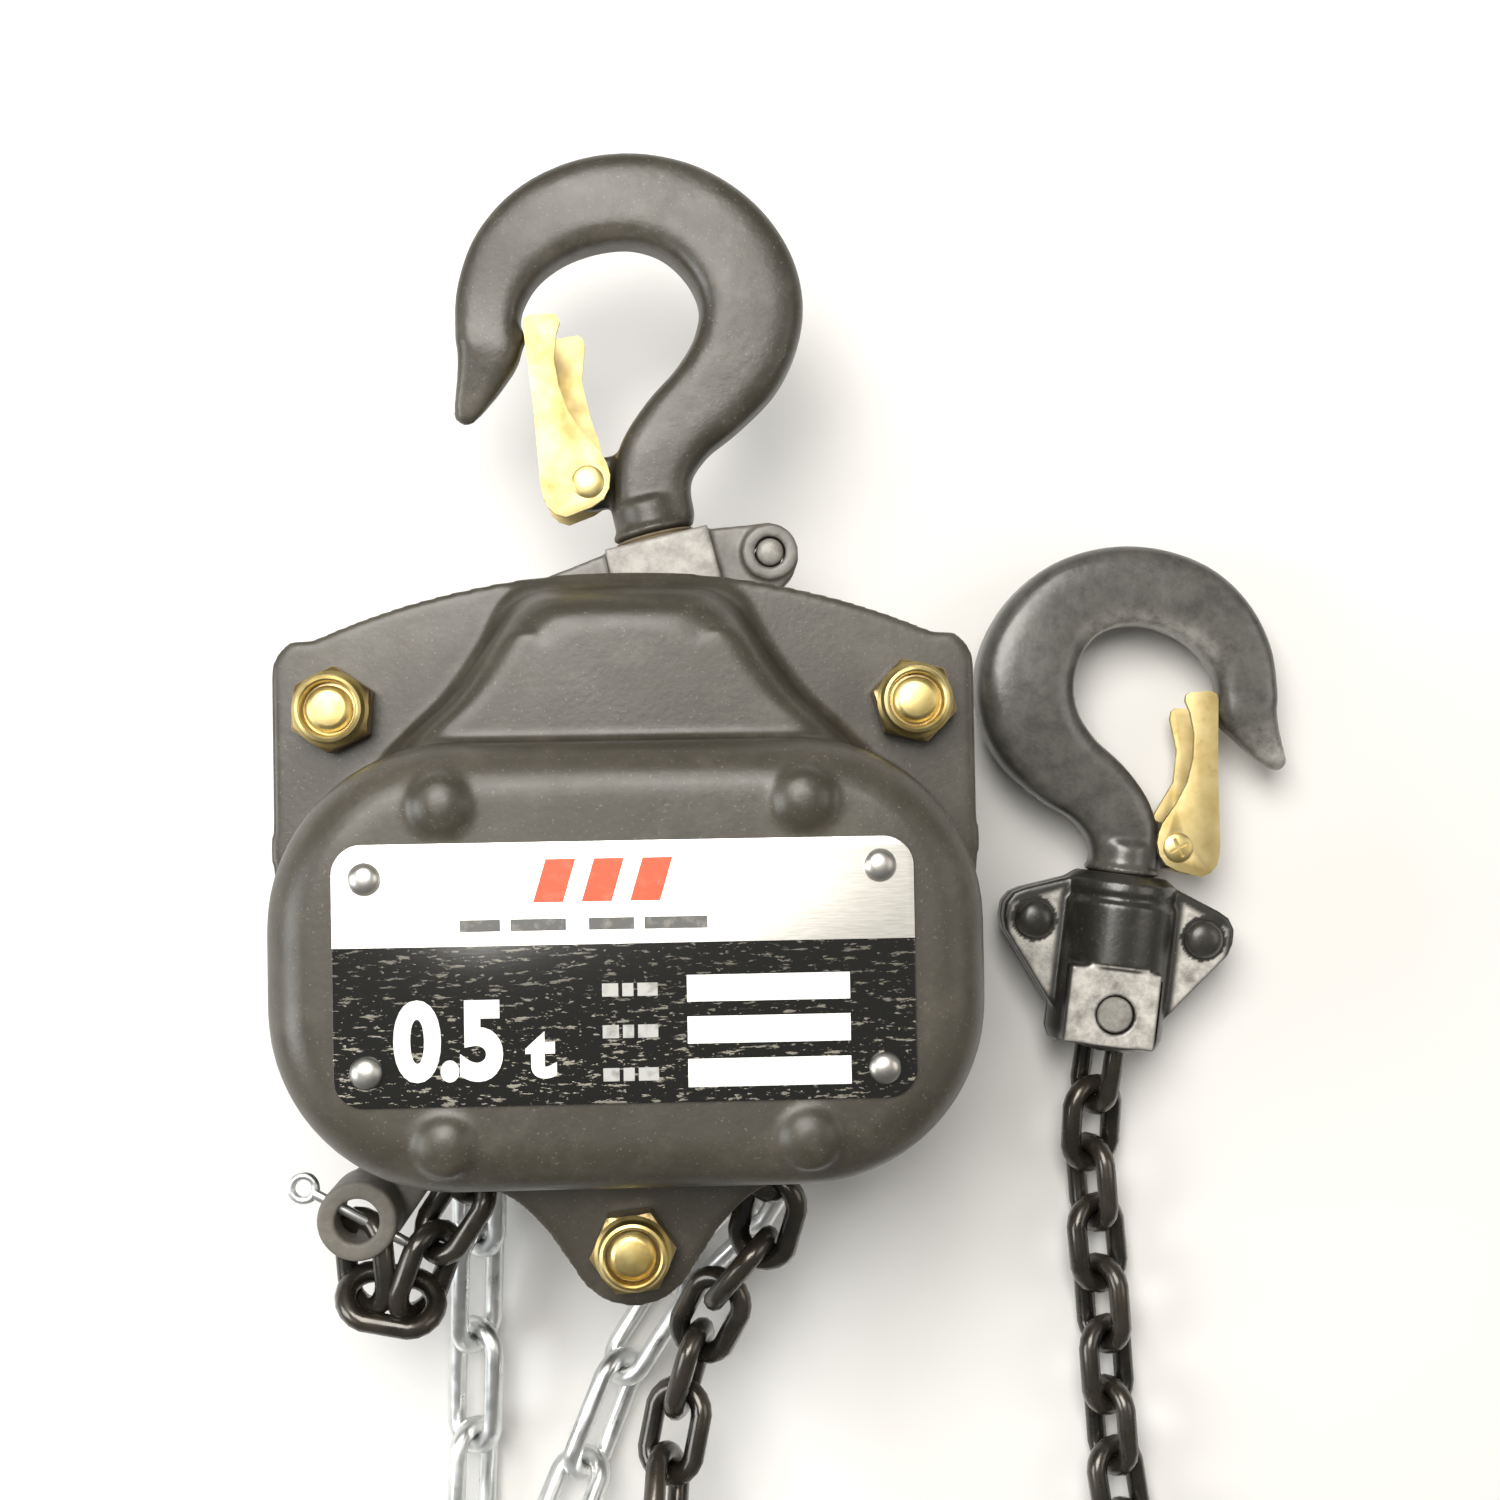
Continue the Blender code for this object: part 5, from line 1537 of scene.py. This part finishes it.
@dataclass
class Yoke:
    """Two riveted halves that hold the top hook's head and hang from the suspension pin."""

    rivets: tuple = ((-23.7, 17.3), (23.7, 17.3))
    voxel: float = 0.5

    def build(self, finishes: Finishes) -> None:
        """Forge, rivet and hang the yoke.

        Args:
            finishes: The hoist's finishes.
        """
        foot = arc((0.0, 0.0), 10.5, -20.0, -90.0, 12)
        ears = mirrored([(9.0, 26.0), (20.0, 24.4), (25.0, 23.8), (27.6, 22.4), (29.4, 20.0), (30.0, 17.0),
                         (29.4, 14.0), (27.4, 11.0), (12.0, 0.5)] + foot)
        cheek = mirrored([(11.5, 26.0), (12.0, 10.0)] + arc((0.0, 0.0), 10.5, 0.0, -90.0, 14))
        for name, side in (("front", 1.0), ("back", -1.0)):
            levels = sorted((0.15 * side, 5.4 * side))
            half = plate(f"yoke_{name}_forging", ears, *levels)
            deep = sorted((0.15 * side, 10.3 * side))
            collar = arc((self.rivets[1][0], self.rivets[1][1]), 6.2, 0.0, 345.0, 23)
            combine(half, "UNION", plate("cheek", cheek, *deep))
            combine(half, "UNION", plate("rim", collar, *sorted((0.15 * side, 6.6 * side))))
            seat = [(0.0, 12.0), (9.2, 12.0), (9.2, 19.0), (7.0, 19.0), (7.0, 30.0), (0.0, 30.0)]
            combine(half, "DIFFERENCE", lathe("seat", seat, along_y=True), self._drill((0.0, 0.0), 6.3))
            for place in self.rivets:
                combine(half, "DIFFERENCE", self._drill(place, 3.4))
            soften(half, self.voxel, 5)
            rub_skin(half, self._rubbed)
            dress(half, finishes.yoke, Body.YOKE, (f"top_yoke_{name}",), TOP_AXES, 70.0)
        for side, place in zip(("left", "right"), self.rivets):
            profile = [(0.0, -6.0), (2.6, -5.8), (3.1, -5.0), (3.1, 5.4), (2.7, 6.1), (1.8, 6.4), (0.0, 6.5)]
            rivet = lathe(f"yoke_{side}_pin", profile, place, 40)
            rub_skin(rivet, lambda place, normal: 0.6 * max(0.0, normal.z))
            dress(rivet, finishes.yoke, Body.YOKE, (f"yoke_rivet_{side}",), TOP_AXES, 50.0)

    def _drill(self, place: tuple, radius: float) -> bpy.types.Object:
        """A cutter for a hole through the forging."""
        return lathe("drill", [(0.0, -20.0), (radius, -20.0), (radius, 20.0), (0.0, 20.0)], place, 40)

    def _rubbed(self, place: Vector, normal: Vector) -> float:
        """The near faces are handled bare, most of all beside the neck."""
        return min(1.0, max(0.0, normal.z) * (0.75 if place.z > 8.0 else 0.3))


@dataclass
class LoadBlock:
    """Two riveted halves round the load hook's head, with the chain's end on a pin across the tail."""

    rivets: tuple = ((-20.8, 20.3), (20.8, 20.3))
    voxel: float = 0.5
    flat: float = 12.9

    def build(self, finishes: Finishes) -> None:
        """Forge and rivet the block.

        Args:
            finishes: The hoist's finishes.
        """
        ears = mirrored([(13.0, 31.5), (24.0, 27.4), (26.6, 26.0), (28.2, 23.4), (28.3, 20.0), (27.4, 17.0),
                         (14.0, 0.0), (6.0, -4.0)])
        body = [(0.0, -9.0), (11.0, -9.0), (13.2, -8.0), (14.35, -5.5), (14.35, 26.2), (13.5, 27.2), (13.5, 28.4),
                (13.9, 29.2), (13.6, 31.6), (11.0, 33.5), (0.0, 33.5)]
        seat = [(0.0, 19.0), (9.2, 19.0), (9.2, 26.0), (7.0, 26.0), (7.0, 40.0), (0.0, 40.0)]
        for name, side in (("front", 1.0), ("back", -1.0)):
            half = lathe(f"block_{name}_forging", body, steps=96, along_y=True)
            combine(half, "UNION", plate("ears", ears, -5.4, 5.4), brick("pad", (-11.9, -7.7, 4.0), (10.2, 10.8, 13.5)))
            combine(half, "DIFFERENCE", lathe("seat", seat, along_y=True),
                    brick("slot", (-11.3, -20.0, -10.2), (11.3, 9.0, 10.2)),
                    brick("flat", (-20.0, -20.0, self.flat), (20.0, 11.0, 30.0)))
            waste = sorted((-40.0 * side, 0.15 * side))
            combine(half, "DIFFERENCE", brick("waste", (-60.0, -60.0, waste[0]), (60.0, 60.0, waste[1])))
            for place, radius in ((self.rivets[0], 3.8), (self.rivets[1], 3.8), ((0.0, 0.0), 4.6)):
                hole = [(0.0, -30.0), (radius, -30.0), (radius, 30.0), (0.0, 30.0)]
                combine(half, "DIFFERENCE", lathe("drill", hole, place, 40))
            soften(half, self.voxel, 4)
            rub_skin(half, self._rubbed)
            dress(half, finishes.gloss_black, Body.BLOCK, (f"load_block_{name}",), LOAD_AXES, 70.0)
        head = [(4.7, 5.75), (4.75, 6.1), (4.3, 7.1), (3.3, 7.85), (1.8, 8.2), (0.0, 8.3)]
        profile = [(radius, -height) for radius, height in reversed(head)] + [(3.5, -5.75), (3.5, 5.75)] + head
        for side, place in zip(("left", "right"), self.rivets):
            rivet = lathe(f"block_{side}_rivet", profile, place, 44)
            dress(rivet, finishes.gloss_black, Body.BLOCK, (f"block_rivet_{side}",), LOAD_AXES, 60.0)
        pin = lathe("load_cross_pin", [(0.0, -13.0), (4.0, -13.0), (4.3, -12.6), (4.3, 12.2), (3.9, 12.6), (0.0, 12.6)],
                    steps=44)
        rub_skin(pin, lambda place, normal: 0.55 * max(0.0, normal.z))
        dress(pin, finishes.gloss_black, Body.BLOCK, ("load_pin",), LOAD_AXES)

    def _rubbed(self, place: Vector, normal: Vector) -> float:
        """Bare metal on the milled flat and on the faces of the ears."""
        up = max(0.0, normal.z) ** 6
        flat = up if place.z > self.flat - 0.3 and -7.6 < place.y < 11.5 and abs(place.x) < 14.0 else 0.0
        side = abs(place.x)
        edge = 27.0 - 0.8 * max(0.0, 16.0 - place.y)
        inside = min(edge - side, 29.5 - 0.42 * (side - 13.0) - place.y, side - 14.6)
        near_rivet = math.dist((side, place.y), self.rivets[1]) < 5.6
        ear = up * min(1.0, max(0.0, inside) / 1.2) if 4.5 < place.z < 6.0 and not near_rivet else 0.0
        return min(1.0, flat + ear)


@dataclass
class TailAnchor:
    """The welded tube that the load chain's tail hangs from, with a split pin through it."""

    place: tuple = (-60.6, -57.0)
    strap: tuple = ((-36.0, -38.0), (-44.0, -34.0), (-66.5, -51.0), (-69.0, -58.0), (-62.0, -65.0), (-53.0, -62.0))

    def build(self, finishes: Finishes) -> None:
        """Weld the tube to its strap and fit the split pin.

        Args:
            finishes: The hoist's finishes.
        """
        tube = lathe("anchor_tube", [(4.85, 46.5), (8.4, 46.5), (8.8, 47.0), (8.8, 64.3), (8.3, 65.0), (5.3, 65.0),
                                     (4.85, 64.6)], self.place, 56)
        strap = plate("strap", list(self.strap), 48.6, 52.6)
        bore = lathe("bore", [(0.0, 40.0), (4.85, 40.0), (4.85, 70.0), (0.0, 70.0)], self.place, 56)
        combine(tube, "UNION", combine(strap, "DIFFERENCE", bore))
        axes = Matrix.Translation((*self.place, 60.5)) @ Matrix.Rotation(math.radians(61.0), 4, "Z")
        hole = lathe("pin_hole", [(0.0, -20.0), (1.63, -20.0), (1.63, 20.0), (0.0, 20.0)], steps=28, along_y=True)
        hole.data.transform(axes)
        combine(tube, "DIFFERENCE", hole)
        soften(tube, 0.45, 3)
        rub_skin(tube, lambda place, normal: 0.8 * max(0.0, normal.z) if place.z > 63.5 else 0.0)
        dress(tube, finishes.end_grain, Body.FRAME, ("tail_anchor",), sharp=70.0)
        shaft = lathe("split_pin_wire", [(0.0, -12.5), (0.8, -12.4), (1.2, -12.0), (1.2, 11.5), (0.0, 11.5)], steps=24,
                      along_y=True)
        bpy.ops.object.select_all(action="DESELECT")
        bpy.ops.mesh.primitive_torus_add(major_segments=36, minor_segments=12, major_radius=2.7, minor_radius=0.95,
                                         location=(0.0, 14.0, 0.0))
        eye = bpy.context.active_object
        bpy.ops.object.transform_apply(location=True, rotation=True, scale=True)
        combine(shaft, "UNION", eye)
        slit = brick("slit", (-2.0, -14.0, -0.12), (2.0, 9.0, 0.12))
        combine(shaft, "DIFFERENCE", slit)
        dress(shaft, finishes.silver, Body.FRAME, ("split_pin",), axes, 50.0)


def top_hook() -> Hook:
    """The hook that the hoist hangs from."""
    line = ((1.4, 30.0, 8.4), (1.8, 37.0, 8.6), (4.5, 43.5, 8.8), (11.0, 49.5, 9.0), (19.5, 54.5, 9.8),
            (27.5, 61.0, 11.0), (32.5, 69.5, 11.6), (33.2, 78.5, 11.6), (29.8, 88.0, 11.2), (23.0, 96.0, 10.6),
            (13.5, 101.0, 10.2), (3.0, 102.4, 10.0), (-7.5, 100.6, 9.5), (-16.5, 95.5, 8.6), (-22.5, 88.0, 7.6),
            (-25.2, 80.5, 7.1), (-26.0, 76.2, 7.1), (-29.0, 71.0, 5.5), (-32.0, 66.8, 4.0), (-34.2, 63.9, 2.9))
    return Hook("top", line, (12.5, 18.5), -1.0, TOP_AXES, Body.TOP_HOOK, Body.TOP_LATCH, 35.5, 4.2,
                ((-20.0, 86.0), (-18.0, 81.0), (-17.2, 77.4), (-20.6, 72.4), (-26.0, 67.6), (-28.0, 78.0)),
                ((5.9, 50.2), (4.6, 50.4), (4.0, 41.6), (7.4, 39.4), (8.2, 40.6), (5.4, 42.4)))


def load_hook() -> Hook:
    """The hook that carries the load."""
    line = ((0.0, 36.0, 8.0), (-0.6, 41.0, 8.4), (-3.0, 47.0, 8.8), (-9.0, 53.0, 9.2), (-17.5, 58.0, 10.2),
            (-25.0, 65.0, 11.4), (-29.0, 73.5, 12.0), (-29.3, 82.0, 11.9), (-26.2, 91.0, 11.2), (-20.0, 98.5, 10.4),
            (-11.0, 103.0, 9.9), (-1.0, 104.2, 9.6), (9.0, 102.0, 9.4), (17.0, 97.0, 8.7), (22.6, 90.0, 7.9),
            (25.2, 82.5, 7.4), (26.4, 77.0, 7.2), (29.4, 72.2, 5.5), (32.4, 68.4, 4.0), (34.8, 65.9, 2.9))
    return Hook("load", line, (19.5, 25.5), 1.0, LOAD_AXES, Body.LOAD_HOOK, Body.LOAD_LATCH, 35.0, 0.0,
                ((19.8, 86.0), (18.2, 80.0), (17.6, 76.0), (20.8, 72.0), (26.6, 68.4), (28.0, 78.0)),
                ((-4.9, 50.2), (-3.7, 50.4), (-4.6, 42.6), (-7.6, 39.4), (-8.4, 40.6), (-5.8, 43.0)), True)


# ---------------------------------------------------------------- the hoist


def main() -> None:
    """Build every sub-assembly in order."""
    logging.basicConfig(level=logging.INFO, format="%(message)s")
    finishes = Finishes()
    finishes.dress_frame()
    Studio().build()
    for part in (GearCover(), NamePlate(), WheelCover(), FramePlates(), StayBolts(), Yoke(), LoadBlock(),
                 TailAnchor()):
        part.build(finishes)
    top_hook().build(finishes, finishes.hook)
    load_hook().build(finishes, finishes.gloss_black)
    Chains().build(finishes)


if __name__ == "__main__":
    main()
